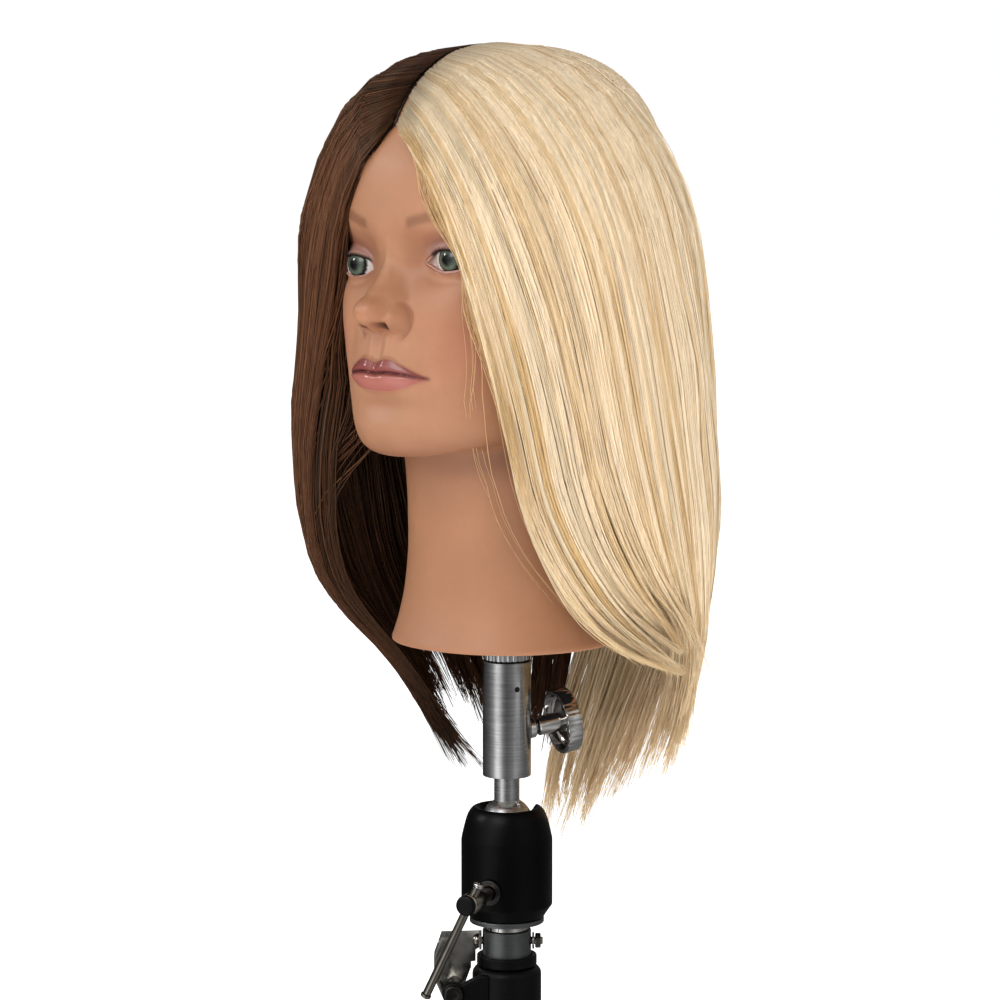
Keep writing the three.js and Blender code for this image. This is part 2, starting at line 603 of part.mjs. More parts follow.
// inside of the casting, open at the neck, with material left around the eyes
function headHollow() {
  const headCavity = [[352, 30, -82, -20, 2.1], ...insetRings(headRings, headHollowZ)];
  headCavity.at(-1)[0] = 533; // lowered to leave the crown closed
  const neckBore = [[230, 53.6, -53.8, 52.5, 2], ...insetRings(neckRings, neckHollowZ)];
  let hollow = loft(headCavity, 0, 14).add(loft(neckBore, 0, 14));
  for (const side of [-1, 1]) {
    hollow = hollow.subtract(ellipsoid([side * EYE.x, EYE.y, EYE.z], [16, 16, 16], 10, 7));
  }
  return hollow;
}

function headShell() {
  const socketR = EYE_R + 0.9;
  let skin = skinSolid(0);
  for (const side of [-1, 1]) {
    const x = side * EYE.x;
    skin = skin.subtract(ellipsoid([x, EYE.y - 16, EYE.z], [15, 9, 9.5], 8, 5)); // eye opening
    skin = skin.subtract(ellipsoid([x, EYE.y, EYE.z], [socketR, socketR, socketR], 12, 8));
  }
  return skin.subtract(headHollow());
}
add(root, 'head_shell', headShell(), 'skin');

for (const [side, sideName] of [[1, 'left'], [-1, 'right']]) {
  const eye = new THREE.SphereGeometry(EYE_R, 14, 9).rotateX(Math.PI / 2);
  add(root, `eye_${sideName}`, eye.translate(side * EYE.x, EYE.y, EYE.z), 'eye');
}

// socket insert: closes the neck from below and guides the post
const postFitR = POST_R + 0.45;
add(root, 'neck_socket', lathe([
  [postFitR, 237.9], [48.8, 237.9], [49.6, 239], [48.6, 243], [20, 243], [16.5, 248],
  [16.5, 302], [14, 304.5], [0, 304.5], [0, 301], [postFitR, 301], [postFitR, 237.9],
], 20), 'plastic');

// ---------------------------------------------------------------- hair, as plain solids
// section tables with the same columns as the head
const crownRings = [[540, 37, -50, 36, 2], [545.5, 22, -36, 14, 2], [547.5, 8, -22, -4, 2]];
const brownHull = [
  [200, 90, -18, 84, 2.4], [HAIR_CUT_Z, 97, -44, 86, 2.5], [300, 101, -86, 94, 2.5],
  [345, 101, -98, 102, 2.5], [420, 99, -104, 108, 2.5], [482, 90, -103, 101, 2.3],
  [503, 81, -96, 91, 2.2], [519, 69, -84, 77, 2.1], [531, 54, -68, 58, 2], ...crownRings,
];
const blondeHull = [
  [200, 94, -10, 84, 2.3], [HAIR_CUT_Z, 98, -24, 86, 2.3], [300, 98, -58, 93, 2.3],
  [345, 97, -76, 101, 2.3], [420, 94, -98, 107, 2.3], [482, 86, -102, 100, 2.2],
  [503, 78, -96, 90, 2.1], [519, 67, -84, 76, 2.1], [531, 53, -68, 57, 2], ...crownRings,
];
const hairCore = [
  [150, 76, -62, 61, 2], [HAIR_CUT_Z, 76, -64, 61.5, 2], [300, 77, -84, 64, 2.2],
  [345, 77.5, -98, 74, 2.2], [376, 78, -99, 82, 2.2], [405, 78, -96, 87, 2.2],
  [440, 78, -92, 89.5, 2.2], [478, 78, -94, 89, 2.15], [496, 75, -89, 84, 2.1],
  [511, 68.5, -80, 75.5, 2.1], [523, 58.5, -67, 62.5, 2], [532, 45.5, -51, 45.5, 2],
  [537.5, 31, -37, 29, 2], [540.8, 16, -22, 10, 2],
];
// open face and throat in front of the hairline: [x, z]
const blondeFace = [
  [-4, 503], [8, 501], [26, 488], [42, 462], [52, 430], [56, 398],
  [58, 345], [62, 310], [67, 273], [75, 237], [76, 100], [-4, 100],
];
const brownFace = [
  [4, 504], [-10, 499], [-34, 482], [-58, 452], [-69, 425], [-71, 398],
  [-70, 345], [-72, 310], [-75, 273], [-80, 237], [-84, 100], [4, 100],
];

const coreSolid = loft(hairCore, 0.35, 22);
const skinClearance = skinSolid(0.7);

// one side of the hair above the cut plane; side is -1 for -X and 1 for +X
function hairHalf(hull, face, side) {
  const [width, height] = [140, 420];
  const box = new THREE.BoxGeometry(width, 400, height);
  box.translate(side * (width / 2 + HAIR_SPLIT), 0, HAIR_CUT_Z + height / 2);
  return loft(hull, 0, 26)
    .intersect(solid(box))
    .subtract(coreSolid)
    .subtract(skinClearance)
    .subtract(plate(face, -200, -34));
}
add(root, 'hair_brown', hairHalf(brownHull, brownFace, -1), 'hairBrown');
add(root, 'hair_blonde', hairHalf(blondeHull, blondeFace, 1), 'hairBlonde');

// Loose ends: a curved sheet hanging from the cut plane and drawn in to a tip.
// points: [x, y]; levels: [z, scale, x and y of the point it is scaled about]
function looseEnds(points, levels) {
  const steps = levels.length - 1;
  const geometry = new THREE.ExtrudeGeometry(
    outline(points), { depth: steps, steps, bevelEnabled: false });
  const position = geometry.attributes.position;
  for (let i = 0; i < position.count; i++) {
    const [z, scale, x, y] = levels[Math.round(position.getZ(i))];
    const newX = x + (position.getX(i) - x) * scale;
    const newY = y + (position.getY(i) - y) * scale;
    position.setXYZ(i, newX, newY, z);
  }
  return geometry;
}

const endsTop = HAIR_CUT_Z - 0.4;
add(root, 'hair_blonde_ends', looseEnds([
  [0.4, 62.5], [22, 59], [44, 52], [60, 41], [74, 26], [78, 8], [80, -12],
  [92, -8], [97, 12], [94, 36], [80, 60], [54, 76], [28, 84], [0.4, 85],
], [
  [endsTop, 1, 0, 65], [206, 0.9, 10, 68], [176, 0.58, 8, 68], [146, 0.32, 0, 66],
  [116, 0.08, -3, 64],
]), 'hairBlonde');
add(root, 'hair_brown_ends', looseEnds([
  [-0.4, 62.5], [-0.4, 85], [-26, 84], [-50, 77], [-74, 62], [-90, 38], [-96, 12],
  [-94, -8], [-82, -12], [-79, 8], [-75, 26], [-60, 41], [-44, 52], [-22, 59],
], [
  [endsTop, 1, -30, 62], [214, 0.84, -32, 64], [192, 0.5, -40, 62], [178, 0.2, -42, 60],
]), 'hairBrown');

export default root;
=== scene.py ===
"""A vinyl head with two-tone hair on a metal stand with a ball joint.

Sizes are in millimetres unless noted; meshes are built in metres. Z = 0 is the foot of the
stand and Z is its axis. The face looks towards -Y and the head's left side, with the blonde
hair, lies at +X. Some stand parts are modelled in the stand's own frame and then turned
about Z by TURN.
"""
import math
from contextlib import contextmanager

import bmesh
import bpy
import numpy as np
from mathutils import Matrix, Vector


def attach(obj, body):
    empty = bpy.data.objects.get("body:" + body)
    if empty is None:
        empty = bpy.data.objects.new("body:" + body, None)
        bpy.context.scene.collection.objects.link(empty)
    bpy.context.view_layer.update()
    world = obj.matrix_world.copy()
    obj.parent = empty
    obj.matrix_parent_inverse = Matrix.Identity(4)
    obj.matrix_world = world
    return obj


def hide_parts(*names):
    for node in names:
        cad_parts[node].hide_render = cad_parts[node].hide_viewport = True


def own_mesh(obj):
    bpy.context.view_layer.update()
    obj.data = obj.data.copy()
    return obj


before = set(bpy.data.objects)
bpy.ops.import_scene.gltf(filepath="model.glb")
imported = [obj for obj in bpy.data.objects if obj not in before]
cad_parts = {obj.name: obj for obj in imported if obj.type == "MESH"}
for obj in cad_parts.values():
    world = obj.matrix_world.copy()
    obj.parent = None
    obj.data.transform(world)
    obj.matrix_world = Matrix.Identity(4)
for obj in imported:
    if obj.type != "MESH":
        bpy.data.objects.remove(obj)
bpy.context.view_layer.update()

MM = 0.001
TURN = math.radians(42)          # the stand is turned against the head
ON_AXIS = 1e-6                   # radii below this count as zero
scene = bpy.context.scene


# ------------------------------------------------------------------ curves and blends
def ease(low, high, value):
    """Smooth step from 0 at low to 1 at high."""
    t = np.clip((value - low) / (high - low), 0, 1)
    return t * t * (3 - 2 * t)


def smooth_max(a, b, blend):
    share = np.clip(0.5 + 0.5 * (a - b) / blend, 0, 1)
    return b + (a - b) * share + blend * share * (1 - share)


def bell(offset, width):
    return np.exp(-0.5 * (offset / width) ** 2)


def spot(across, z, centre_x, centre_z, width_x, width_z):
    """Bell-shaped patch in x and z, 1 at its centre."""
    dx, dz = across - centre_x, z - centre_z
    return np.exp(-0.5 * ((dx / width_x) ** 2 + (dz / width_z) ** 2))


def cubic_step(t, gap, start, end, start_slope, end_slope):
    """Cubic between two values, t from 0 to 1 over the gap."""
    return ((2 * t**3 - 3 * t**2 + 1) * start + (t**3 - 2 * t**2 + t) * gap * start_slope
            + (-2 * t**3 + 3 * t**2) * end + (t**3 - t**2) * gap * end_slope)


def curve(x, knots, values):
    """Cubic through the points without overshoot; knots rise."""
    knots = np.asarray(knots, float)
    values = np.asarray(values, float)
    gaps = np.diff(knots)
    rises = np.diff(values) / gaps
    before, after = rises[:-1], rises[1:]
    slopes = np.zeros_like(values)
    slopes[1:-1] = np.where(before * after > 0, 2 * before * after / (before + after + 1e-12), 0)
    slopes[0], slopes[-1] = rises[0], rises[-1]
    x = np.clip(x, knots[0], knots[-1])
    i = np.clip(np.searchsorted(knots, x, side="right") - 1, 0, len(gaps) - 1)
    t = (x - knots[i]) / gaps[i]
    return cubic_step(t, gaps[i], values[i], values[i + 1], slopes[i], slopes[i + 1])


def spline_rows(knots, rows, x):
    """Smooth curve through whole rows of values at the knots."""
    knots = np.asarray(knots, float)
    rows = np.asarray(rows, float)

    def upright(values):
        return values.reshape((-1,) + (1,) * (rows.ndim - 1))

    gaps = np.diff(knots)
    rises = (rows[1:] - rows[:-1]) / upright(gaps)
    share = upright(gaps[1:] / (gaps[1:] + gaps[:-1]))
    slopes = np.empty_like(rows)
    slopes[0], slopes[-1] = rises[0], rises[-1]
    slopes[1:-1] = rises[:-1] * share + rises[1:] * (1 - share)
    i = np.clip(np.searchsorted(knots, x, side="right") - 1, 0, len(gaps) - 1)
    t = upright((x - knots[i]) / gaps[i])
    return cubic_step(t, upright(gaps[i]), rows[i], rows[i + 1], slopes[i], slopes[i + 1])


def srgb(red, green, blue):
    """Linear colour from 0-255 display values."""
    value = np.array([red, green, blue], float) / 255
    return tuple(np.where(value <= 0.04045, value / 12.92, ((value + 0.055) / 1.055) ** 2.4))


# ------------------------------------------------------------------ mesh helpers
def add_object(name, data):
    obj = bpy.data.objects.new(name, data)
    scene.collection.objects.link(obj)
    return obj


def mesh_object(name, verts, face_groups):
    """Object from points in mm and arrays of faces, one corner count per array."""
    mesh = bpy.data.meshes.new(name)
    coordinates = np.asarray(verts, np.float64) * MM
    loops = np.concatenate([faces.reshape(-1) for faces in face_groups])
    totals = np.concatenate([np.full(len(faces), faces.shape[1]) for faces in face_groups])
    starts = np.cumsum(totals) - totals
    mesh.vertices.add(len(coordinates))
    mesh.vertices.foreach_set("co", coordinates.reshape(-1).astype(np.float32))
    mesh.loops.add(len(loops))
    mesh.loops.foreach_set("vertex_index", loops.astype(np.int32))
    mesh.polygons.add(len(starts))
    mesh.polygons.foreach_set("loop_start", starts.astype(np.int32))
    mesh.polygons.foreach_set("loop_total", totals.astype(np.int32))
    mesh.polygons.foreach_set("use_smooth", np.full(len(starts), True))
    mesh.update(calc_edges=True)
    mesh.validate()
    return add_object(name, mesh)


def color_attribute(mesh, name, rgb):
    attribute = mesh.color_attributes.new(name, "FLOAT_COLOR", "POINT")
    data = np.ones((len(rgb), 4), np.float32)
    data[:, :3] = rgb
    attribute.data.foreach_set("color", data.reshape(-1))


@contextmanager
def edited(mesh):
    """Opens a mesh as a bmesh and writes it back."""
    bm = bmesh.new()
    bm.from_mesh(mesh)
    yield bm
    bm.to_mesh(mesh)
    bm.free()
    mesh.update()


def face_outward(bm):
    bmesh.ops.recalc_face_normals(bm, faces=bm.faces)
    if bm.calc_volume(signed=True) < 0:
        bmesh.ops.reverse_faces(bm, faces=bm.faces)


def fix_normals(obj):
    with edited(obj.data) as bm:
        face_outward(bm)


def smooth_by_angle(obj, degrees):
    """Smooth shading with sharp edges where faces meet steeply."""
    limit = math.radians(degrees)
    with edited(obj.data) as bm:
        for edge in bm.edges:
            edge.smooth = not (len(edge.link_faces) == 2 and edge.calc_face_angle(0) > limit)
        for face in bm.faces:
            face.smooth = True


def stand_matrix():
    return Matrix.Rotation(TURN, 4, "Z")


def aim_matrix(position, direction):
    """Moves the origin to the position and +Z to the direction."""
    z_axis = Vector(direction).normalized()
    helper = Vector((1, 0, 0)) if abs(z_axis.z) > 0.95 else Vector((0, 0, 1))
    x_axis = helper.cross(z_axis).normalized()
    matrix = Matrix((x_axis, z_axis.cross(x_axis), z_axis)).transposed().to_4x4()
    matrix.translation = Vector(position)
    return matrix


def transform_mm(obj, matrix):
    """Applies a matrix that works in millimetres."""
    scale = Matrix.Scale(MM, 4)
    obj.data.transform(scale @ matrix @ scale.inverted())
    obj.data.update()


def band(lower, upper):
    """Quads between closed rings of vertex numbers."""
    corners = [lower, np.roll(lower, -1, -1), np.roll(upper, -1, -1), upper]
    return np.stack(corners, -1).reshape(-1, 4)


def revolve(name, profile, segments=96, radial=None):
    """Revolves [radius, z] points about +Z.

    The profile starts and ends on the axis or closes on itself. radial(angles, radius) may
    change the radius round a ring.
    """
    points = np.array(profile, float)
    on_axis = points[:, 0] < ON_AXIS
    closed = not (on_axis[0] and on_axis[-1])
    if closed and np.allclose(points[0], points[-1]):
        points = points[:-1]
    angles = np.arange(segments) / segments * 2 * np.pi
    verts, quads, tris, rings = [], [], [], []
    count = 0
    for r, z in points:
        if r < ON_AXIS:
            verts.append(np.array([[0, 0, z]]))
            rings.append(np.full(segments, count))
        else:
            radii = np.full(segments, r) if radial is None else radial(angles, r)
            verts.append(np.stack([radii * np.cos(angles), radii * np.sin(angles),
                                   np.full(segments, z)], 1))
            rings.append(np.arange(segments) + count)
        count += len(verts[-1])
    for i in range(len(points) if closed else len(points) - 1):
        j = (i + 1) % len(points)
        ring, following = rings[i], rings[j]
        if on_axis[i] and on_axis[j]:
            continue
        if on_axis[i]:
            tris.append(np.stack([np.roll(following, -1), following, ring], 1))
        elif on_axis[j]:
            tris.append(np.stack([ring, np.roll(ring, -1), following], 1))
        else:
            quads.append(band(ring, following))
    groups = [np.concatenate(faces) for faces in (quads, tris) if faces]
    obj = mesh_object(name, np.concatenate(verts), groups)
    fix_normals(obj)
    return obj


def extrude_xz(name, outline, y_start, y_end):
    """Prism from a polygon in x, z between two y values."""
    bm = bmesh.new()
    near, far = [[bm.verts.new(Vector((x, y, z)) * MM) for x, z in outline]
                 for y in (y_start, y_end)]
    bm.faces.new(near)
    bm.faces.new(list(reversed(far)))
    for i in range(len(outline)):
        j = (i + 1) % len(outline)
        bm.faces.new([near[j], near[i], far[i], far[j]])
    face_outward(bm)
    mesh = bpy.data.meshes.new(name)
    bm.to_mesh(mesh)
    bm.free()
    return add_object(name, mesh)


def apply_modifiers(obj):
    bpy.context.view_layer.update()
    depsgraph = bpy.context.evaluated_depsgraph_get()
    mesh = bpy.data.meshes.new_from_object(obj.evaluated_get(depsgraph), depsgraph=depsgraph)
    obj.modifiers.clear()
    old = obj.data
    obj.data = mesh
    mesh.name = old.name


def boolean(obj, cutters, operation="DIFFERENCE"):
    for cutter in cutters:
        modifier = obj.modifiers.new("boolean", "BOOLEAN")
        modifier.operation = operation
        modifier.solver = "EXACT"
        modifier.object = cutter
        apply_modifiers(obj)
    for cutter in cutters:
        bpy.data.objects.remove(cutter)


def bevel(obj, width, segments=2, angle=40):
    modifier = obj.modifiers.new("bevel", "BEVEL")
    modifier.width = width * MM
    modifier.segments = segments
    modifier.limit_method = "ANGLE"
    modifier.angle_limit = math.radians(angle)
    modifier.use_clamp_overlap = True
    apply_modifiers(obj)


def tube(path, radii, sides, closed=False):
    """Vertices, quads and end triangles of a tube along a path; a closed tube has no ends."""
    path = np.asarray(path, float)
    count = len(path)
    if closed:
        along = np.roll(path, -1, 0) - np.roll(path, 1, 0)
    else:
        along = np.gradient(path, axis=0)
    along /= np.linalg.norm(along, axis=1)[:, None] + 1e-9
    side = np.cross(along, np.array([0.0, -1.0, 0.15]))
    side /= np.linalg.norm(side, axis=1)[:, None] + 1e-9
    other = np.cross(along, side)
    angles = np.arange(sides) / sides * 2 * np.pi
    circle = (np.cos(angles)[None, :, None] * side[:, None, :]
              + np.sin(angles)[None, :, None] * other[:, None, :])
    verts = (path[:, None, :] + np.asarray(radii)[:, None, None] * circle).reshape(-1, 3)
    grid = np.arange(count * sides).reshape(count, sides)
    if closed:
        return verts, band(grid, np.roll(grid, -1, 0)), None
    verts = np.concatenate([verts, path[:1], path[-1:]])
    start, end = count * sides, count * sides + 1
    tris = np.concatenate([
        np.stack([np.roll(grid[0], -1), grid[0], np.full(sides, start)], 1),
        np.stack([grid[-1], np.roll(grid[-1], -1), np.full(sides, end)], 1)])
    return verts, band(grid[:-1], grid[1:]), tris


def register(obj, body, replaced=None):
    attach(obj, body)
    if replaced:
        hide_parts(replaced)


# ------------------------------------------------------------------ shader helpers
class Nodes:
    """Adds nodes to a tree. Its methods return output sockets unless noted."""

    def __init__(self, tree):
        self.tree = tree

    def feed(self, node, inputs):
        """Sets or links inputs, keyed by name or number."""
        for socket, value in inputs.items():
            if isinstance(value, bpy.types.NodeSocket):
                self.tree.links.new(value, node.inputs[socket])
            else:
                node.inputs[socket].default_value = value

    def add(self, kind, inputs, **settings):
        """Returns the new node itself."""
        node = self.tree.nodes.new("ShaderNode" + kind)
        for key, value in settings.items():
            setattr(node, key, value)
        self.feed(node, inputs)
        return node

    def object_coords(self, scale=(1, 1, 1)):
        source = self.add("TexCoord", {}).outputs["Object"]
        return self.add("Mapping", {"Vector": source, "Scale": scale}).outputs[0]

    def noise(self, vector, scale, detail=2.0):
        inputs = {"Vector": vector, "Scale": scale, "Detail": detail}
        return self.add("TexNoise", inputs).outputs[0]

    def ramp(self, factor, stops):
        """Stops are (position, colour or grey level)."""
        node = self.add("ValToRGB", {0: factor})
        elements = node.color_ramp.elements
        while len(elements) > 1:
            elements.remove(elements[-1])
        for i, (position, value) in enumerate(stops):
            element = elements.new(position) if i else elements[0]
            element.position = position
            element.color = (*((value,) * 3 if np.isscalar(value) else value), 1)
        return node.outputs[0]

    def spread(self, factor, low, high, start=0.3, end=0.7):
        return self.ramp(factor, [(start, low), (end, high)])

    def attribute(self, name):
        return self.add("Attribute", {}, attribute_name=name).outputs["Color"]

    def multiply(self, first, second):
        return self.add("Mix", {0: 1.0, 6: first, 7: second},
                        data_type="RGBA", blend_type="MULTIPLY").outputs[2]

    def math(self, operation, *values):
        return self.add("Math", dict(enumerate(values)), operation=operation).outputs[0]

    def vector_math(self, operation, *values, output=0):
        node = self.add("VectorMath", dict(enumerate(values)), operation=operation)
        return node.outputs[output]

    def bump(self, height, strength, distance=0.0003):
        inputs = {"Strength": strength, "Distance": distance, "Height": height}
        return self.add("Bump", inputs).outputs[0]


class Surface(Nodes):
    """A material in the making."""

    def __init__(self, name):
        self.material = bpy.data.materials.new(name)
        self.material.use_nodes = True
        super().__init__(self.material.node_tree)

    def shade(self, inputs):
        """Feeds the Principled BSDF and returns the material."""
        self.feed(self.tree.nodes["Principled BSDF"], inputs)
        return self.material


# ------------------------------------------------------------------ head: measurements
# Level outlines of the head from the crown down to the neck's edge:
# z front, z side, z back, half width, front y, back y
RINGS = np.array([
    [543.0, 543.0, 543.0, 0.0, 0.0, 0.0],
    [542.7, 542.7, 542.7, 10.0, -15.0, 7.0],
    [541.6, 541.6, 541.6, 18.0, -27.0, 13.0],
    [537.6, 537.6, 537.6, 33.0, -44.0, 31.0],
    [530.5, 530.5, 530.5, 48.0, -58.5, 49.0],
    [517.5, 517.5, 517.5, 61.5, -73.0, 66.5],
    [500.0, 500.0, 500.0, 70.5, -83.0, 79.0],
    [482.0, 482.0, 482.0, 75.0, -89.5, 86.0],
    [464.0, 464.0, 464.0, 76.0, -91.0, 88.5],
    [448.0, 448.0, 448.0, 75.0, -89.0, 89.0],
    [432.0, 432.0, 432.0, 73.5, -88.0, 88.0],
    [416.0, 416.0, 416.0, 71.5, -90.0, 85.5],
    [400.0, 400.0, 400.0, 69.0, -92.5, 81.0],
    [386.0, 386.0, 387.0, 66.5, -94.5, 76.0],
    [372.0, 374.0, 376.0, 63.5, -94.5, 71.5],
    [358.0, 367.0, 368.0, 60.6, -93.5, 68.0],
    [349.0, 362.0, 362.0, 59.2, -91.5, 66.4],
    [342.6, 358.5, 357.0, 58.0, -88.0, 65.0],
    [339.4, 356.0, 352.0, 56.6, -83.0, 63.6],
    [339.6, 353.0, 346.0, 54.8, -74.0, 62.2],
    [342.2, 348.0, 340.0, 53.2, -64.0, 60.6],
    [341.0, 340.0, 333.0, 51.4, -56.0, 59.0],
    [330.0, 328.0, 325.0, 50.5, -52.4, 57.0],
    [310.0, 310.0, 310.0, 49.9, -50.8, 54.0],
    [290.0, 290.0, 290.0, 49.8, -50.3, 53.0],
    [268.0, 268.0, 268.0, 51.6, -51.6, 53.8],
    [252.0, 252.0, 252.0, 54.6, -54.6, 55.8],
    [242.0, 242.0, 242.0, 57.4, -57.6, 57.4],
    [239.4, 239.4, 239.4, 58.2, -58.6, 57.8],
    [238.2, 238.2, 238.2, 58.3, -58.6, 57.9],
    [237.5, 237.5, 237.5, 57.7, -58.0, 57.3],
])
RING_POWER = 2.16                # superellipse exponent of the outlines
FRONT_RINGS = RINGS[RINGS[:, 0] > 343][::-1]      # above the chin, rising

# Inner wall of the shell from the neck's edge up: radius, z
INNER_WALL = [(55.0, 237.4), (51.2, 237.4), (50.6, 238.2), (50.4, 244.0), (50.0, 252.0),
              (46.5, 262.0), (46.0, 300.0), (44.5, 330.0), (44.0, 352.0), (60.0, 380.0),
              (64.0, 420.0), (63.0, 470.0), (54.0, 505.0), (34.0, 524.0), (12.0, 531.0)]
INNER_TOP_Z = 532.0

# Spacing of the head's rows at heights along the front: z, spacing
ROW_SPACING = np.array([(236, 0.7), (246, 1.6), (262, 3.4), (300, 3.6), (334, 1.8), (346, 1.2),
                        (366, 0.9), (371, 0.56), (446, 0.56), (452, 0.9), (462, 1.6),
                        (500, 3.0), (541, 2.4)])
FACE_ANGLE, FACE_STEP = 43.2, 0.48   # evenly fine columns either side of the front, degrees

EYE_X, EYE_Y, EYE_Z = 31.0, -67.2, 437.0
EYE_RADIUS = 13.4
EYE_OFFSET = 2.3                 # the +X eye sits this much higher, the -X one lower
LID_OFFSET = EYE_OFFSET * 0.985
EYES = {"eye_left": (1, 8.0, 1.86),       # side, gaze in degrees, iris centre's shift in x
        "eye_right": (-1, 1.0, 0.23)}

# Lid edges and lip lines: distances from the middle, then z
LID_X = [17.1, 19.5, 24, 30.5, 37, 42, 45.4]
LID_UPPER = (LID_X, [434.7, 437.3, 440.3, 441.7, 441.0, 438.9, 436.2])
LID_LOWER = (LID_X, [434.7, 433.3, 431.4, 430.6, 431.3, 433.4, 436.2])
LIP_UPPER = ([0, 5, 7.9, 15, 22, 26.3], [387.5, 389.2, 389.6, 386.8, 383.0, 380.0])
LIP_SEAM = ([0, 7, 15, 22, 26.3], [382.3, 383.0, 382.4, 381.0, 380.0])
LIP_LOWER = ([0, 8, 15, 22, 26.3], [373.2, 373.6, 375.2, 378.0, 380.0])
MOUTH_HALF = 26.6

# Swellings (+) and hollows (-) of the face, mirrored in x:
# height, distance from the middle, z, width in x, width in z
FACE_BUMPS = [
    (1.6, 26, 455.5, 15, 5.5), (0.8, 0, 452, 9, 6),        # brow ridge
    (-1.3, 55, 458, 9, 16),                                # temples
    (-5.6, 20, 437.5, 8.0, 8.0), (-3.4, 35, 440.5, 12, 8.5),     # eye sockets
    (2.6, 37, 412, 14, 12), (-1.8, 43, 380, 10, 14), (-1.2, 24, 398, 4.0, 9.0),    # cheeks
    (2.6, 0, 388, 19, 15), (-2.9, 0, 367.0, 15, 4.6),      # muzzle, hollow under the lip
    (3.4, 0, 350.5, 15, 8.0), (1.0, 12, 347, 7, 7),        # chin
    (-1.1, 0, 395, 2.4, 6.0), (0.6, 5.2, 394.5, 2.0, 6.0),       # groove under the nose
]
# Bridge of the nose: z, height
BRIDGE = ([407.0, 410.6, 414.4, 418.2, 421.8, 427, 433.5, 440, 447, 456, 470],
          [101, 105.4, 107.6, 106.4, 103.2, 97.6, 92.4, 89.2, 88.8, 87.5, 80.0])
# Tip, tip sides, wings and the bar between the nostrils, each an ellipsoid:
# distance from the middle, z, radius x, radius z, base height, rise, soft edge, blend
NOSE_BALLS = [
    (0, 413.2, 8.2, 7.7, 100.8, 10.0, 0.2, 3.0),
    (2.7, 412.9, 5.8, 6.7, 100.2, 8.8, 0.2, 2.0),
    (8.9, 409.3, 5.5, 6.4, 93.6, 7.3, 0.3, 3.0),
    (0, 408.0, 3.2, 5.0, 97.0, 6.0, 0.2, 1.8),
]


# ------------------------------------------------------------------ head: front height, -y
def ball_height(across, z, centre_x, centre_z, radius_x, radius_z, base, rise, soft):
    """Height of an ellipsoid's front, falling away outside its outline."""
    reach = ((across - centre_x) / radius_x) ** 2 + ((z - centre_z) / radius_z) ** 2
    dome = base + rise * np.sqrt(np.clip(1 - reach, 1e-6, 1))
    skirt = base + rise * np.sqrt(soft) - rise * (reach - (1 - soft)) / (2 * np.sqrt(soft))
    return np.where(reach < 1 - soft, dome, skirt)


def wing_distance(across, z):
    """1 on an ellipse round the wing of the nose."""
    return np.sqrt(((across - 9.8) / 6.2) ** 2 + ((z - 408.6) / 7.5) ** 2)


def nostril(across, dz):
    return np.exp(-(((across - 6.8) / 2.3) ** 4 + (dz / 1.7) ** 4))


def lip_lines(across):
    return [curve(across, *line) for line in (LIP_UPPER, LIP_SEAM, LIP_LOWER)]


def lip_relief(x, z):
    across = np.abs(x)
    upper, seam, lower = lip_lines(across)
    fullness = np.clip(1 - (across / MOUTH_HALF) ** 2, 0, 1) ** 0.62
    above = (z - seam) / np.maximum(upper - seam, 0.4)
    below = (seam - z) / np.maximum(seam - lower, 0.4)
    in_mouth = across < MOUTH_HALF
    upper_roll = np.where((above >= 0) & in_mouth,
                          np.sin(np.pi * np.clip(above / 1.25, 0, 1) ** 0.52), 0)
    lower_roll = np.where((below >= 0) & in_mouth,
                          np.sin(np.pi * np.clip(below / 1.22, 0, 1) ** 0.60), 0)
    middle = bell(x, 3.0)
    relief = (3.5 * fullness * upper_roll * (1 - 0.22 * middle)
              + 4.0 * fullness * lower_roll * (1 - 0.10 * middle))
    relief = relief + 0.45 * bell(z - upper, 0.9) * fullness
    relief = relief - 0.9 * fullness * bell(z - seam, 0.55)
    return relief - 1.6 * spot(across, z, 27.0, 379.8, 2.6, 2.4)     # mouth corners


def nose_bridge(across, z):
    crest = curve(np.clip(z, 400, 470), *BRIDGE)
    steepness = 1.46 + 0.25 * ease(430, 445, z)
    roundness = 4.0 - 0.5 * ease(420, 438, z) + 2.0 * ease(440, 456, z)
    ridge = crest - steepness * (np.sqrt(across**2 + roundness**2) - roundness)
    ridge = np.where(z < 409.5, ridge - (409.5 - z) * 4.5, ridge)
    return ridge - 8.0 * ease(448, 462, z) - 2.5 * np.clip(z - 460, 0, 200)


def face_height(x, z, plain):
    """Adds the features of the face to the plain height."""
    across = np.abs(x)
    height = plain
    for amount, *place in FACE_BUMPS:
        height = height + amount * spot(across, z, *place)
    height = height + lip_relief(x, z)
    height = smooth_max(height, nose_bridge(across, z), 3.2)
    for *ball, blend in NOSE_BALLS:
        height = smooth_max(height, ball_height(across, z, *ball), blend)
    # crease round the wing, then the nostril
    height = height - 0.85 * bell(wing_distance(across, z) - 1.15, 0.13) * ease(10.5, 14.5, across)
    return height - 4.5 * nostril(across, z - 406.6 + 0.16 * (across - 6))


def eye_z(x, z, shift=EYE_OFFSET):
    """z with the eyes' difference in level taken out."""
    return z - np.sign(x) * shift * ease(8, 18, np.abs(x)) * bell(z - 440, 16)


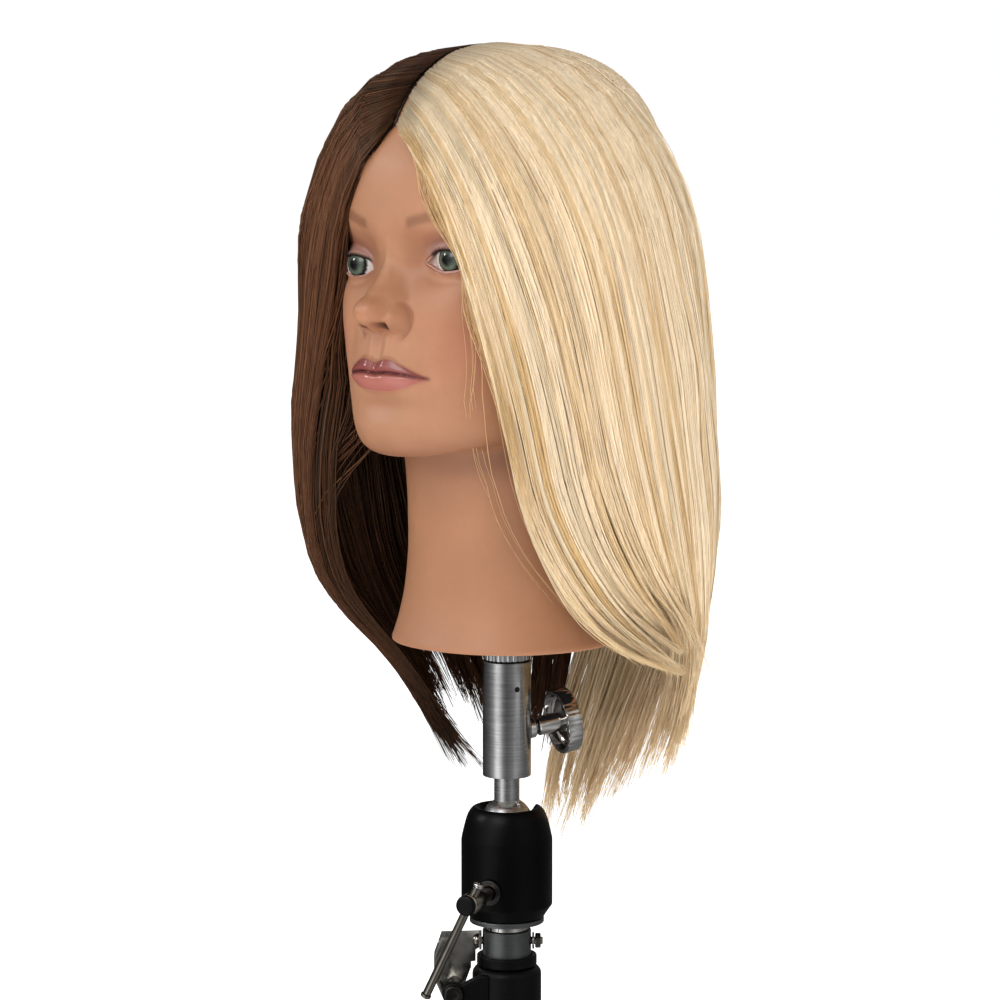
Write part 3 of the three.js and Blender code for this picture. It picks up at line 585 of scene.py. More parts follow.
def lid_height(x, z, height):
    """Adds the lids over the eyeball and the folds above and below them."""
    z = eye_z(x, z)
    across = np.abs(x)
    distance2 = (across - EYE_X) ** 2 + (z - EYE_Z) ** 2
    lid_radius = EYE_RADIUS + 1.15
    lid = -EYE_Y + np.sqrt(np.clip(lid_radius**2 - distance2, 0, None))
    height = np.where(distance2 < (lid_radius - 0.4) ** 2, smooth_max(height, lid, 1.5), height)
    near_eye = ease(18, 23, across) * (1 - ease(43, 49, across))
    upper_fold = curve(across, *LID_UPPER) + 4.1 - 0.02 * (across - EYE_X) ** 2
    height = height - 0.95 * near_eye * bell(z - upper_fold, 0.85)
    return height - 0.4 * near_eye * bell(z - (curve(across, *LID_LOWER) - 4.6), 1.2)


def opening(across, z):
    """Distance inside the almond between the lids, above zero inside it."""
    inside = np.minimum(curve(across, *LID_UPPER) - z, z - curve(across, *LID_LOWER))
    return np.where((across > LID_X[0]) & (across < LID_X[-1]), inside, -1.0)


def skin_height(x, z):
    """Height of the finished face above the chin."""
    half_width = curve(z, FRONT_RINGS[:, 0], FRONT_RINGS[:, 3])
    front = curve(z, FRONT_RINGS[:, 0], FRONT_RINGS[:, 4])
    rounding = np.clip(1 - (np.abs(x) / half_width) ** RING_POWER, 0, 1) ** (1 / RING_POWER)
    return lid_height(x, z, face_height(x, z, -front * rounding))


# ------------------------------------------------------------------ head: painted colours
def skin_colours(x, y, z_true, front):
    """Colour of each skin point and the share of lip gloss; front is 1 on the face."""
    across = np.abs(x)
    z = eye_z(x, z_true)
    colour = np.tile(np.array(srgb(186, 134, 100)), (len(x), 1))

    def paint(rgb, weight):
        nonlocal colour
        colour = colour * (1 - weight[:, None]) + np.array(srgb(*rgb)) * weight[:, None]

    def patch(rgb, strength, *place):
        paint(rgb, strength * front * spot(across, z, *place))

    # painted shade on the neck under the head, lighter again towards its foot, and deeper painted
    # shade under the jaw
    paint((176, 124, 90), 0.75 * (1 - ease(330, 345, z)))
    paint((182, 130, 96), 0.8 * (1 - ease(248, 285, z)))
    painted_jaw_shade = (1 - ease(340, 352 + 0.12 * np.abs(y + 40), z)) * ease(322, 338, z)
    paint((138, 88, 60), 0.55 * painted_jaw_shade)
    # cheek blush, nose tip, and painted shade in the inner and upper sockets: centre x, centre z,
    # width x, width z
    patch((190, 104, 84), 0.34, 47, 398, 14, 16)
    patch((184, 116, 82), 0.25, 0, 410, 10, 8)
    # painted shade beside the bridge of the nose and under the brows
    patch((152, 98, 66), 0.62, 15.5, 440, 6.5, 12)
    patch((158, 100, 70), 0.50, 34, 449, 15, 4.5)
    # painted shade in the crease round the wing, under the nose and under the lip
    wing_crease_shade = bell(wing_distance(across, z) - 1.16, 0.14) * ease(9, 14, across)
    paint((136, 84, 58), 0.55 * front * wing_crease_shade)
    patch((120, 72, 50), 0.60, 6, 405.6, 4.2, 1.6)
    patch((150, 98, 68), 0.35, 0, 368.5, 16, 3.0)
    # shadow over the lid and up to the fold
    lower = curve(across, *LID_LOWER)
    near_eye = front * ease(16, 22, across) * (1 - ease(46, 53, across))
    above = z - curve(across, *LID_UPPER)
    paint((150, 98, 78), 0.75 * near_eye * ease(-1, 1.0, above) * (1 - ease(6.0, 12.5, above)))
    paint((182, 146, 140),
          0.55 * near_eye * ease(0.8, 1.8, above) * (1 - ease(3.2, 5.5, above)))
    # painted shade under the lower lid
    paint((150, 92, 72), 0.45 * near_eye * (1 - ease(1.0, 4.0, lower - z)) * (z < lower + 1))
    patch((186, 124, 104), 0.5, 17.6, 434.8, 1.6, 1.4)
    # liner at the lash roots
    paint((42, 28, 22), 0.92 * near_eye * ease(-1.6, -0.2, above) * (1 - ease(0.3, 1.3, above)))
    paint((70, 46, 38), 0.55 * front * ease(26, 34, across) * (1 - ease(46, 48, across))
          * (1 - ease(0.2, 1.0, lower - z)) * (z < lower + 0.8))
    gap = front * ease(0.0, 0.35, opening(across, z))
    paint((200, 186, 178), 0.95 * gap)
    paint((192, 148, 132), 0.70 * gap * (1 - ease(18.6, 21.0, across)))
    # brows: middle line and half thickness
    brow_x = [12.8, 20, 28, 36, 44, 51, 56]
    brow_z = curve(across, brow_x, [456.0, 458.2, 460.2, 461.4, 461.2, 459.2, 456.2])
    brow_half = curve(across, brow_x, [2.7, 3.1, 2.9, 2.4, 1.9, 1.3, 0.7])
    off_line = np.abs(eye_z(x, z_true, 1.2) - brow_z) / brow_half
    paint((132, 86, 58), 0.72 * front * ease(11.8, 15.5, across) * (1 - ease(52, 57, across))
          * (1 - ease(0.35, 1.45, off_line)))
    # lips and nostrils keep their true level
    z = z_true
    upper_line, seam, lower_line = lip_lines(across)
    mouth = front * (1 - ease(25.8, 27.0, across))
    upper_lip = mouth * (1 - ease(-0.35, 0.45, z - upper_line)) * (z >= seam)
    lower_lip = mouth * (1 - ease(-0.35, 0.55, lower_line - z)) * (z < seam)
    paint((140, 70, 70), 0.92 * upper_lip)
    paint((180, 108, 100), 0.90 * lower_lip)
    # darker lip red along the seam: painted shade in the crease between the lips
    paint((98, 42, 42), 0.85 * mouth * bell(z - seam, 0.75) * (1 - 0.3 * ease(20, 26, across)))
    # painted shade in the nostrils
    paint((70, 34, 22), 0.85 * front * nostril(across, z - 406.4))
    colour = colour * np.where(gap > 0.5, 1.0, 0.84)[:, None]
    return colour, np.clip(upper_lip + lower_lip, 0, 1)


# ------------------------------------------------------------------ head: shell
def ring_rows():
    """The six columns of RINGS resampled, with close rows over the face."""
    front_z = RINGS[:, 0]
    steps = np.hypot(np.diff(front_z), np.hypot(np.diff(RINGS[:, 4]), 0.3))
    stations = np.concatenate([[0], np.cumsum(steps)])
    fine = np.linspace(0, stations[-1], 12000)
    spacing = np.interp(curve(fine, stations, front_z), *ROW_SPACING.T)
    spacing = np.where(fine < stations[4], 1.8, spacing)
    counted = np.concatenate([[0], np.cumsum(np.diff(fine) / spacing[1:])])
    number = int(round(counted[-1]))
    rows = np.interp(np.linspace(0, counted[-1], number + 1), counted, fine)
    return [curve(rows, stations, column) for column in RINGS.T]


def column_angles():
    """Angles from the front: even over the face, growing steps behind it."""
    face = np.arange(-FACE_ANGLE, FACE_ANGLE + 0.01, FACE_STEP)
    sides = []
    angle, step = FACE_ANGLE, FACE_STEP
    while angle < 178:
        step = min(step * 1.16, 2.9)
        angle += step
        if angle < 178.4:
            sides.append(angle)
    sides = np.array(sides)
    return np.radians(np.concatenate([-sides[::-1], face, sides]))


def head_surface(angles):
    """Outer surface as grids x, y, z and the weight of the face's features."""
    front_z, side_z, back_z, half_width, front_y, back_y = ring_rows()
    sine, cosine = np.sin(angles), np.cos(angles)
    power = 2 / RING_POWER
    x = half_width[:, None] * (np.sign(sine) * np.abs(sine) ** power)
    to_front = cosine >= 0
    depth = np.abs(np.sign(cosine) * np.abs(cosine) ** power)
    y = np.where(to_front, front_y[:, None] * depth, back_y[:, None] * depth)
    tilt = np.where(to_front, (front_z - side_z)[:, None], (back_z - side_z)[:, None])
    z = side_z[:, None] + tilt * np.abs(cosine) ** 1.7

    # the features fade out towards the sides and over the last rows under the chin
    last_row = np.where(front_y <= -82.0)[0].max()
    fade = ease(0, 6.0, last_row + 1 - np.arange(len(front_y)))
    weight = ease(0.30, 0.52, cosine) * fade[:, None]
    plain = -y
    height = plain + (lid_height(x, z, face_height(x, z, plain)) - plain) * weight

    # snap the nearest vertices to the lid edges, then sink the ones between the lids
    across = np.abs(x)
    facing = cosine > 0.5
    shift = z - eye_z(x, z)
    for lid_line in (LID_UPPER, LID_LOWER):
        target = curve(across, *lid_line) + np.sign(x) * LID_OFFSET
        near = (np.abs(z - target) < 0.29) & (across > 17.4) & (across < 45.2) & facing
        z = np.where(near, target, z)
    gap = opening(across, z - shift) * facing
    distance2 = (across - EYE_X) ** 2 + (z - shift - EYE_Z) ** 2
    socket2 = (EYE_RADIUS - 1.3) ** 2
    sunk = -EYE_Y + np.sqrt(np.clip(socket2 - distance2, 0, None)) - 0.6 * (distance2 > socket2)
    sunk = np.minimum(np.maximum(sunk, height - 3.0), height - 1.2)
    height = np.where((gap > 0.02) & facing, sunk, height)
    y = np.where(cosine > 0, -height, y)

    # ears: low mounds under the hair
    ear = 5.0 * np.exp(-0.5 * (((z - 420) / 17) ** 2 + ((y - 6 - 0.15 * (z - 420)) / 9.5) ** 2))
    hollow = 2.4 * np.exp(-0.5 * (((z - 417) / 9) ** 2 + ((y - 2) / 4.5) ** 2))
    x = x + np.sign(x) * (ear - hollow) * (np.abs(sine) > 0.8)
    return x, y, z, weight * (cosine > 0.35)


def build_head():
    angles = column_angles()
    columns = len(angles)
    x, y, z, weight = head_surface(angles)
    outer = np.stack([x.ravel(), y.ravel(), z.ravel()], 1)
    inner = [np.stack([r * np.sin(angles), -r * np.cos(angles), np.full(columns, level_z)], 1)
             for r, level_z in INNER_WALL]
    # the outer surface's first row is a single point, the crown
    verts = np.concatenate([outer[:1], outer[columns:], *inner, [[0, 0, INNER_TOP_Z]]])
    grid = 1 + np.arange(len(verts) - 2).reshape(-1, columns)
    first, last, apex = grid[0], grid[-1], len(verts) - 1
    tris = np.concatenate([
        np.stack([np.zeros(columns, int), np.roll(first, -1), first], 1),
        np.stack([last, np.roll(last, -1), np.full(columns, apex)], 1)])
    obj = mesh_object("head_skin", verts, [band(grid[:-1], grid[1:]), tris])
    front = np.zeros(len(verts))
    front[0] = weight[0, 0]
    front[1:x.size - columns + 1] = weight[1:].ravel()
    colours, gloss = skin_colours(*verts.T, front)
    nothing = np.zeros_like(gloss)
    color_attribute(obj.data, "paint", colours)
    color_attribute(obj.data, "gloss", np.stack([gloss, nothing, nothing], 1))
    fix_normals(obj)
    return obj


# ------------------------------------------------------------------ eyes, lid rims, lashes
RIM_RADIUS = 0.62
UPPER_RIM_RADIUS = 0.72
RIM_STATIONS, RIM_SIDES = 60, 10
LASHES = 46                      # on each eye
LASH_START_X, LASH_END_X = 21.5, 45.2
LASH_POINTS = 6


def lid_rim(sign):
    """Closed tube round one eye's opening and its colours."""
    inner_x, outer_x = LID_X[0], LID_X[-1]
    sweep = np.linspace(0, np.pi, RIM_STATIONS)
    upper_x = inner_x + (outer_x - inner_x) * 0.5 * (1 - np.cos(sweep))
    rim_x = np.concatenate([upper_x, upper_x[::-1][1:-1]])
    rim_z = np.concatenate([curve(upper_x, *LID_UPPER), curve(upper_x, *LID_LOWER)[::-1][1:-1]])
    rim_z = rim_z + sign * LID_OFFSET
    rim_y = -(skin_height(sign * rim_x, rim_z) - RIM_RADIUS)
    upper = np.arange(len(rim_x)) < RIM_STATIONS
    radii = np.where(upper, UPPER_RIM_RADIUS, RIM_RADIUS)
    for from_corner in (rim_x - inner_x, outer_x - rim_x):
        radii = radii * (0.55 + 0.45 * ease(0, 3.0, from_corner))
    path = np.stack([sign * rim_x, rim_y, rim_z], 1)
    verts, quads, _ = tube(path, radii, RIM_SIDES, closed=True)
    colour = np.where(upper[:, None], np.array(srgb(58, 36, 30)), np.array(srgb(176, 128, 116)))
    corner = (1 - ease(18.5, 22.5, rim_x))[:, None]
    colour = colour * (1 - corner) + np.array(srgb(178, 126, 104)) * corner
    return verts, quads, np.repeat(colour, RIM_SIDES, axis=0)


def lash(sign, share, rng):
    """One lash; share runs from 0 near the nose to 1 at the outer corner."""
    x = LASH_START_X + (LASH_END_X - LASH_START_X) * share
    z = curve(x, *LID_UPPER) + sign * LID_OFFSET
    y = -(skin_height(sign * x, z) + 0.05)
    length = 4.2 * (0.55 + 0.75 * share) * (0.9 + 0.2 * rng.random())
    lean = (x - EYE_X) / 14 * 0.55 + 0.10 * (rng.random() - 0.5) + 0.16
    t = np.linspace(0, 1, LASH_POINTS)
    path = np.stack([sign * (x + lean * length * t),
                     y - length * 0.72 * t + 0.10 * length * t * t,
                     z - 0.3 + length * (0.05 * t + 0.62 * t * t)], 1)
    return tube(path, np.linspace(0.16, 0.045, LASH_POINTS), 4)


def build_lids_and_lashes():
    rng = np.random.default_rng(20240611)
    verts, quads, tris, colours = [], [], [], []
    count = 0
    for sign in (-1, 1):
        rim_verts, rim_quads, rim_colours = lid_rim(sign)
        verts.append(rim_verts)
        quads.append(rim_quads + count)
        colours.append(rim_colours)
        count += len(rim_verts)
        for i in range(LASHES):
            lash_verts, lash_quads, lash_tris = lash(sign, (i + 0.5) / LASHES, rng)
            verts.append(lash_verts)
            quads.append(lash_quads + count)
            tris.append(lash_tris + count)
            colours.append(np.tile(np.array(srgb(26, 18, 15)), (len(lash_verts), 1)))
            count += len(lash_verts)
    obj = mesh_object("eyelids_and_lashes", np.concatenate(verts),
                      [np.concatenate(quads), np.concatenate(tris)])
    color_attribute(obj.data, "paint", np.concatenate(colours))
    return obj


def build_eye(name, sign, gaze_degrees):
    """Ball with a low cornea, turned about the line of sight."""
    cornea_edge, cornea_radius = 6.4, 8.6
    edge_angle = math.asin(cornea_edge / EYE_RADIUS)
    profile = [[EYE_RADIUS * math.sin(angle), EYE_RADIUS * math.cos(angle)]
               for angle in np.linspace(math.pi, edge_angle, 44)]
    profile[0][0] = 0.0
    edge_z = EYE_RADIUS * math.cos(edge_angle)
    cornea_z = edge_z - math.sqrt(cornea_radius**2 - cornea_edge**2)
    for r in np.linspace(cornea_edge, 0, 16)[1:]:
        profile.append([r, cornea_z + math.sqrt(cornea_radius**2 - r**2)])
    obj = revolve(name, profile, 72)
    gaze = math.radians(gaze_degrees)
    centre = (sign * EYE_X, EYE_Y, EYE_Z + sign * EYE_OFFSET)
    transform_mm(obj, aim_matrix(centre, (math.sin(gaze), -math.cos(gaze), 0)))
    return obj


def eye_material(name, sign, iris_shift):
    surface = Surface(name)
    position = surface.add("TexCoord", {}).outputs["Object"]
    centre = ((sign * EYE_X + iris_shift) * MM, 0, (EYE_Z + sign * EYE_OFFSET) * MM)
    offset = surface.vector_math("SUBTRACT", position, centre)
    flat = surface.vector_math("MULTIPLY", offset, (1, 0, 1))
    distance = surface.vector_math("LENGTH", flat, output="Value")
    radius = surface.math("MULTIPLY", distance, 1000 / 12.0)      # 1 at 12 mm
    # fibres of the iris: noise by direction moves the radius a little either way
    direction = surface.vector_math("NORMALIZE", flat)
    fibres = surface.noise(direction, scale=9.0, detail=5.0)
    centred = surface.math("ADD", radius, -0.055)
    frayed = surface.math("MULTIPLY_ADD", fibres, 0.11, centred)
    # pupil, iris, dark rim, white
    colour = surface.ramp(frayed, [
        (0.0, srgb(1, 1, 1)), (0.17, srgb(2, 2, 2)), (0.20, srgb(16, 20, 15)),
        (0.25, srgb(44, 54, 43)), (0.37, srgb(84, 97, 82)), (0.44, srgb(58, 68, 57)),
        (0.485, srgb(16, 18, 15)), (0.525, srgb(18, 18, 16)), (0.565, srgb(140, 132, 126)),
        (0.60, srgb(206, 198, 194)), (0.85, srgb(204, 194, 190)), (1.10, srgb(180, 150, 142))])
    grain = surface.noise(position, scale=900.0)
    return surface.shade({
        "Base Color": colour,
        "Normal": surface.bump(grain, strength=0.02, distance=0.0001),
        "Roughness": surface.spread(grain, 0.30, 0.42, start=0.0, end=1.0),
        "Specular IOR Level": 0.08, "Coat Weight": 0.8, "Coat Roughness": 0.03,
        "Coat IOR": 1.45})


def skin_material():
    surface = Surface("vinyl_skin")
    paint = surface.attribute("paint")
    gloss = surface.add("SeparateColor", {0: surface.attribute("gloss")}).outputs[0]
    position = surface.object_coords()
    clouds = surface.noise(position, scale=22.0, detail=4.0)
    pores = surface.noise(position, scale=900.0, detail=3.0)
    mottle = surface.noise(position, scale=260.0, detail=5.0)
    broad = surface.spread(clouds, (0.93, 0.90, 0.88), (1.05, 1.03, 1.02))
    close = surface.spread(mottle, (0.975, 0.965, 0.96), (1.02, 1.015, 1.01))
    colour = surface.multiply(surface.multiply(paint, broad), close)
    dry = surface.spread(mottle, 0.43, 0.53)
    lip_roughness = 0.24
    roughness = surface.add("Mix", {0: gloss, 2: dry, 3: lip_roughness}, data_type="FLOAT")
    return surface.shade({
        "Base Color": colour,
        "Roughness": roughness.outputs[0],
        "Normal": surface.bump(pores, strength=0.10, distance=0.0002),
        "Subsurface Weight": 0.18, "Subsurface Radius": (1.0, 0.45, 0.25),
        "Subsurface Scale": 0.004, "Specular IOR Level": 0.45})


def lid_material():
    surface = Surface("lid_edge")
    paint = surface.attribute("paint")
    grain = surface.noise(surface.object_coords(), scale=700.0)
    return surface.shade({
        "Base Color": surface.multiply(paint, surface.spread(grain, 0.85, 1.12)),
        "Roughness": surface.spread(grain, 0.35, 0.5),
        "Normal": surface.bump(grain, strength=0.1, distance=0.0002)})


def make_head():
    head = build_head()
    head.data.materials.append(skin_material())
    register(head, "head", "head_shell")
    lids = build_lids_and_lashes()
    lids.data.materials.append(lid_material())
    register(lids, "head")
    for name, (sign, gaze, iris_shift) in EYES.items():
        eye = build_eye(name + "_ball", sign, gaze)
        eye.data.materials.append(eye_material(name + "_glaze", sign, iris_shift))
        register(eye, "head", name)


make_head()


# ------------------------------------------------------------------ stand: finishes
def metal_material(name, rgb, rough, rough_spread=0.08, grain=(1, 1, 1), grain_scale=300.0,
                   bump=0.03, metallic=1.0, dirt=0.80):
    """Metal with fine grain, stretched by the grain vector, under broad dull spots."""
    surface = Surface(name)
    fine = surface.noise(surface.object_coords(grain), scale=grain_scale, detail=4.0)
    broad = surface.noise(surface.object_coords(), scale=90.0, detail=5.0)
    contrast = 0.08
    colour = np.array(srgb(*rgb))
    tone = surface.spread(fine, colour * (1 - contrast), colour * (1 + contrast))
    spots = surface.spread(broad, dirt, 1.0, start=0.28, end=0.55)
    return surface.shade({
        "Base Color": surface.multiply(tone, spots),
        "Metallic": metallic,
        "Roughness": surface.spread(fine, rough - rough_spread, rough + rough_spread),
        "Normal": surface.bump(fine, bump)})


def plastic_material(name, rgb, rough, scale, bump, worn=None, specular=0.4):
    """Moulded or coated surface; worn is the colour of its palest spots."""
    surface = Surface(name)
    position = surface.object_coords()
    texture = surface.noise(position, scale=scale, detail=4.0)
    broad = surface.noise(position, scale=60.0, detail=6.0)
    colour = np.array(srgb(*rgb))
    pale = srgb(*worn) if worn else colour * 1.6 + 0.004
    return surface.shade({
        "Base Color": surface.ramp(broad, [(0.35, colour * 0.85), (0.62, colour), (0.78, pale)]),
        "Roughness": surface.spread(broad, rough - 0.05, rough + 0.08),
        "Normal": surface.bump(texture, bump),
        "Specular IOR Level": specular})


MATERIALS = {
    "aluminium": metal_material("brushed_aluminium", (196, 196, 196), rough=0.20,
                                rough_spread=0.07, grain=(0.03, 0.03, 1), grain_scale=1500.0,
                                bump=0.24),
    "turned": metal_material("turned_aluminium", (204, 204, 204), rough=0.27,
                             grain=(0.05, 0.05, 1), grain_scale=1800.0, bump=0.10),
    "chrome": metal_material("chrome_plate", (214, 212, 208), rough=0.10, rough_spread=0.05,
                             grain_scale=220.0, bump=0.02),
    "satin": metal_material("satin_steel", (104, 106, 106), rough=0.36, grain=(0.1, 0.1, 1),
                            grain_scale=1500.0, bump=0.08, metallic=0.9),
    "bar_chrome": metal_material("worn_chrome", (132, 126, 118), rough=0.13, rough_spread=0.05,
                                 grain_scale=220.0, bump=0.02),
    "nickel": metal_material("nickel_plate", (178, 170, 156), rough=0.16, rough_spread=0.06),
    "steel": metal_material("zinc_steel", (176, 172, 166), rough=0.30, rough_spread=0.10,
                            grain_scale=160.0, bump=0.05),
    "dark_steel": metal_material("dark_steel", (60, 58, 56), rough=0.36, rough_spread=0.10,
                                 grain_scale=400.0, bump=0.06),
    "brass": metal_material("dull_brass", (158, 142, 112), rough=0.26, grain=(0.1, 0.1, 1),
                            grain_scale=700.0, bump=0.05, dirt=srgb(176, 166, 146)),
    "black_coat": plastic_material("black_powder_coat", (3, 3, 4), rough=0.34, scale=1500.0,
                                   bump=0.10, worn=(6, 6, 8), specular=0.10),
    "black_plastic": plastic_material("black_plastic", (6, 6, 7), rough=0.40, scale=2200.0,
                                      bump=0.16, worn=(10, 10, 12), specular=0.13),
    "dark_plastic": plastic_material("dark_plastic", (28, 28, 30), rough=0.45, scale=1500.0,
                                     bump=0.12, specular=0.2),
    "nylon": plastic_material("natural_nylon", (206, 202, 190), rough=0.42, scale=1200.0,
                              bump=0.05, worn=(212, 208, 198)),
}


# ------------------------------------------------------------------ stand: part helpers
def arc(centre_x, centre_z, radius, start, end, count):
    """Points on an arc, angles in degrees from the +x or +radius axis."""
    return [[centre_x + radius * math.cos(math.radians(angle)),
             centre_z + radius * math.sin(math.radians(angle))]
            for angle in np.linspace(start, end, count)]


def soften(profile, radius, steps=4, sharp=28):
    """Rounds the corners of a closed or open profile that turn by more than sharp degrees."""
    points = [np.array(point, float) for point in profile]
    closed = np.allclose(points[0], points[-1])
    if closed:
        points = points[:-1]
    rounded = []
    count = len(points)
    for i, corner in enumerate(points):
        if not closed and i in (0, count - 1):
            rounded.append(list(corner))
            continue
        back, ahead = points[i - 1] - corner, points[(i + 1) % count] - corner
        back_length, ahead_length = np.linalg.norm(back), np.linalg.norm(ahead)
        cosine = np.dot(back, ahead) / (back_length * ahead_length + 1e-12)
        if 180 - math.degrees(math.acos(np.clip(cosine, -1, 1))) < sharp or corner[0] < ON_AXIS:
            rounded.append(list(corner))
            continue
        cut = min(radius, 0.42 * back_length, 0.42 * ahead_length)
        start, end = corner + back / back_length * cut, corner + ahead / ahead_length * cut
        for t in np.linspace(0, 1, steps):
            rounded.append(list((1 - t) ** 2 * start + 2 * t * (1 - t) * corner + t * t * end))
    if closed:
        rounded.append(rounded[0])
    return rounded


def ring_outline(inner, outer, low, high):
    return [[inner, low], [outer, low], [outer, high], [inner, high], [inner, low]]


def rod_cutter(radius, start, end, segments=40):
    start, end = Vector(start), Vector(end)
    length = (end - start).length
    cutter = revolve("cutter", [[0, 0], [radius, 0], [radius, length], [0, length]], segments)
    transform_mm(cutter, aim_matrix(start, end - start))
    return cutter


def cross_hole(radius, direction, z, start, end, segments=40):
    """Arguments of a rod cutter that runs level from the axis, start and end along it."""
    centre = Vector((0, 0, z))
    direction = Vector(direction)
    return radius, direction * start + centre, direction * end + centre, segments


def finish(obj, node, body, material, slot=None, turned=True, sharp=35):
    """Turns the part from the stand's frame, shades it and registers it."""
    if turned:
        transform_mm(obj, stand_matrix())
    obj.data.materials.clear()
    obj.data.materials.append(MATERIALS[material])
    smooth_by_angle(obj, sharp)
    register(obj, body, node)


def part(name, node, body, material, outline, rounding=0, steps=4, segments=96, radial=None,
         place=None, holes=(), edge=0, **finishing):
    """A turned part. Outline points are [radius, z]; holes are arguments of rod_cutter."""
    if rounding:
        outline = soften(outline, rounding, steps)
    obj = revolve(name, outline, segments, radial)
    if place:
        transform_mm(obj, place)
    boolean(obj, [rod_cutter(*hole) for hole in holes])
    if edge:
        bevel(obj, edge)
    finish(obj, node, body, material, **finishing)


def hex_nut(name, node, material, bore, low, high, place):
    across_flats = 7.0
    corner = across_flats / 2 / math.cos(math.pi / 6)
    chamfer = corner * 0.09
    flat = across_flats / 2 * 0.97

    def hexagon(angles, r):
        if r < bore + 0.3:
            return np.full(len(angles), r)
        from_flat = (angles + math.pi / 6) % (math.pi / 3) - math.pi / 6
        return np.minimum(across_flats / 2 / np.cos(from_flat), r)

    outline = [[bore, low], [flat, low], [corner + 0.001, low + chamfer],
               [corner + 0.001, high - chamfer], [flat, high], [bore, high], [bore, low]]
    part(name, node, "column", material, outline, segments=72, radial=hexagon, place=place,
         sharp=20)


def tooth_phase(angles, count=24):
    return (angles * count / (2 * np.pi)) % 1.0


# ------------------------------------------------------------------ stand: column
X_AXIS = (1, 0, 0)
FINE_SEGMENTS = 128
CROSS_Z = 76                     # bolt across the column
CROSS_FRAME = aim_matrix((0, 0, CROSS_Z), X_AXIS)
CROSS_HOLE = cross_hole(2.3, X_AXIS, CROSS_Z, -30, 30)
COLUMN_BORE = 13.1


def make_column():
    part("sleeve_tube", "neck_sleeve", "column", "satin", ring_outline(10.2, 12.8, 0.2, 82.2),
         rounding=0.35, segments=FINE_SEGMENTS, holes=[CROSS_HOLE])
    part("flange_disc", "base_flange", "column", "satin", ring_outline(5.2, 19.6, 86.5, 89.1),
         rounding=0.5, segments=FINE_SEGMENTS)
    part("spindle_shaft", "spindle", "column", "chrome",
         [[0, 0], [9.9, 0], [9.9, 82.4], [11.4, 82.4], [11.4, 86.45], [4.9, 86.45],
          [4.9, 100.2], [4.2, 101.2], [0, 101.2]],
         rounding=0.3, segments=FINE_SEGMENTS, holes=[CROSS_HOLE])
    part("collar_ring", "column_collar", "column", "black_plastic",
         ring_outline(COLUMN_BORE, 15.8, 63.3, 69), rounding=0.9, steps=5,
         segments=FINE_SEGMENTS)


def make_cross_bolt():
    head = arc(0.4, 2.3, 3.3, -44, 4, 6)
    shank = [[3.6, 2.75], [2.0, 2.78], [2.0, 36.2], [1.7, 36.6], [0, 36.6]]
    part("cross_bolt_pin", "cross_bolt", "column", "bar_chrome", [[0, 0]] + head + shank,
         segments=48, place=aim_matrix((-17.6, 0, CROSS_Z), X_AXIS), sharp=40)
    part("cross_washer_ring", "cross_washer", "column", "chrome",
         ring_outline(2.25, 4.4, 13.4, 14.4), rounding=0.2, segments=48, place=CROSS_FRAME)
    hex_nut("cross_nut_hex", "cross_nut", "bar_chrome", bore=2.25, low=14.9, high=17.9,
            place=CROSS_FRAME)


# ------------------------------------------------------------------ stand: ball joint
BALL_Z = 139.1
BALL_RADIUS = 13.95
SEAT_RADIUS = 14.35
SLOT_HALF = 7.6                  # slot in the housing's rim, on its +Y side

LOCK_DIR = Vector((0.34202, -0.939693, 0))
LOCK_CENTRE = Vector((0, 0, 106.7))
LOCK_FRAME = aim_matrix(LOCK_CENTRE, LOCK_DIR)
BAR_DIR = Vector((0.411934, 0.149932, 0.898794)).normalized()
BAR_CENTRE = LOCK_DIR * 51 + LOCK_CENTRE
BAR_FRAME = aim_matrix(BAR_CENTRE, BAR_DIR)


def make_housing():
    outside = [[19.7, 89.7], [20.3, 90.9], [24.0, 96.2], [24.0, 130.6], [23.8, 132.0],
               [23.3, 134.4], [22.7, 137.0], [22.05, 139.6], [21.3, 142.2], [20.4, 144.5],
               [19.3, 146.3], [18.1, 147.6], [17.0, 148.1], [16.0, 147.9], [15.1, 147.1],
               [14.5, 146.3]]
    seat = [[math.sqrt(SEAT_RADIUS**2 - (z - BALL_Z) ** 2) if z > 141.0
             else 14.2 + (141.0 - z) * 0.2, z] for z in np.linspace(145.2, BALL_Z, 8)]
    bore = [[14.6, 138.6], [14.6, 96.6], [15.6, 96.6], [15.6, 89.7], [19.7, 89.7]]
    housing = revolve("housing_body", soften(outside + seat + bore, 0.6, steps=5, sharp=14), 160)
    slot = [(-SLOT_HALF, 170), (SLOT_HALF, 170)] + arc(0, BALL_Z, SLOT_HALF, 0, -180, 32)
    boolean(housing, [extrude_xz("cutter", slot, 0.0, 40.0),
                      rod_cutter(*cross_hole(3.8, LOCK_DIR, LOCK_CENTRE.z, 5, 60))])
    bevel(housing, 0.45, segments=3)
    finish(housing, "ball_housing", "ball_head", "black_coat", turned=False, sharp=42)


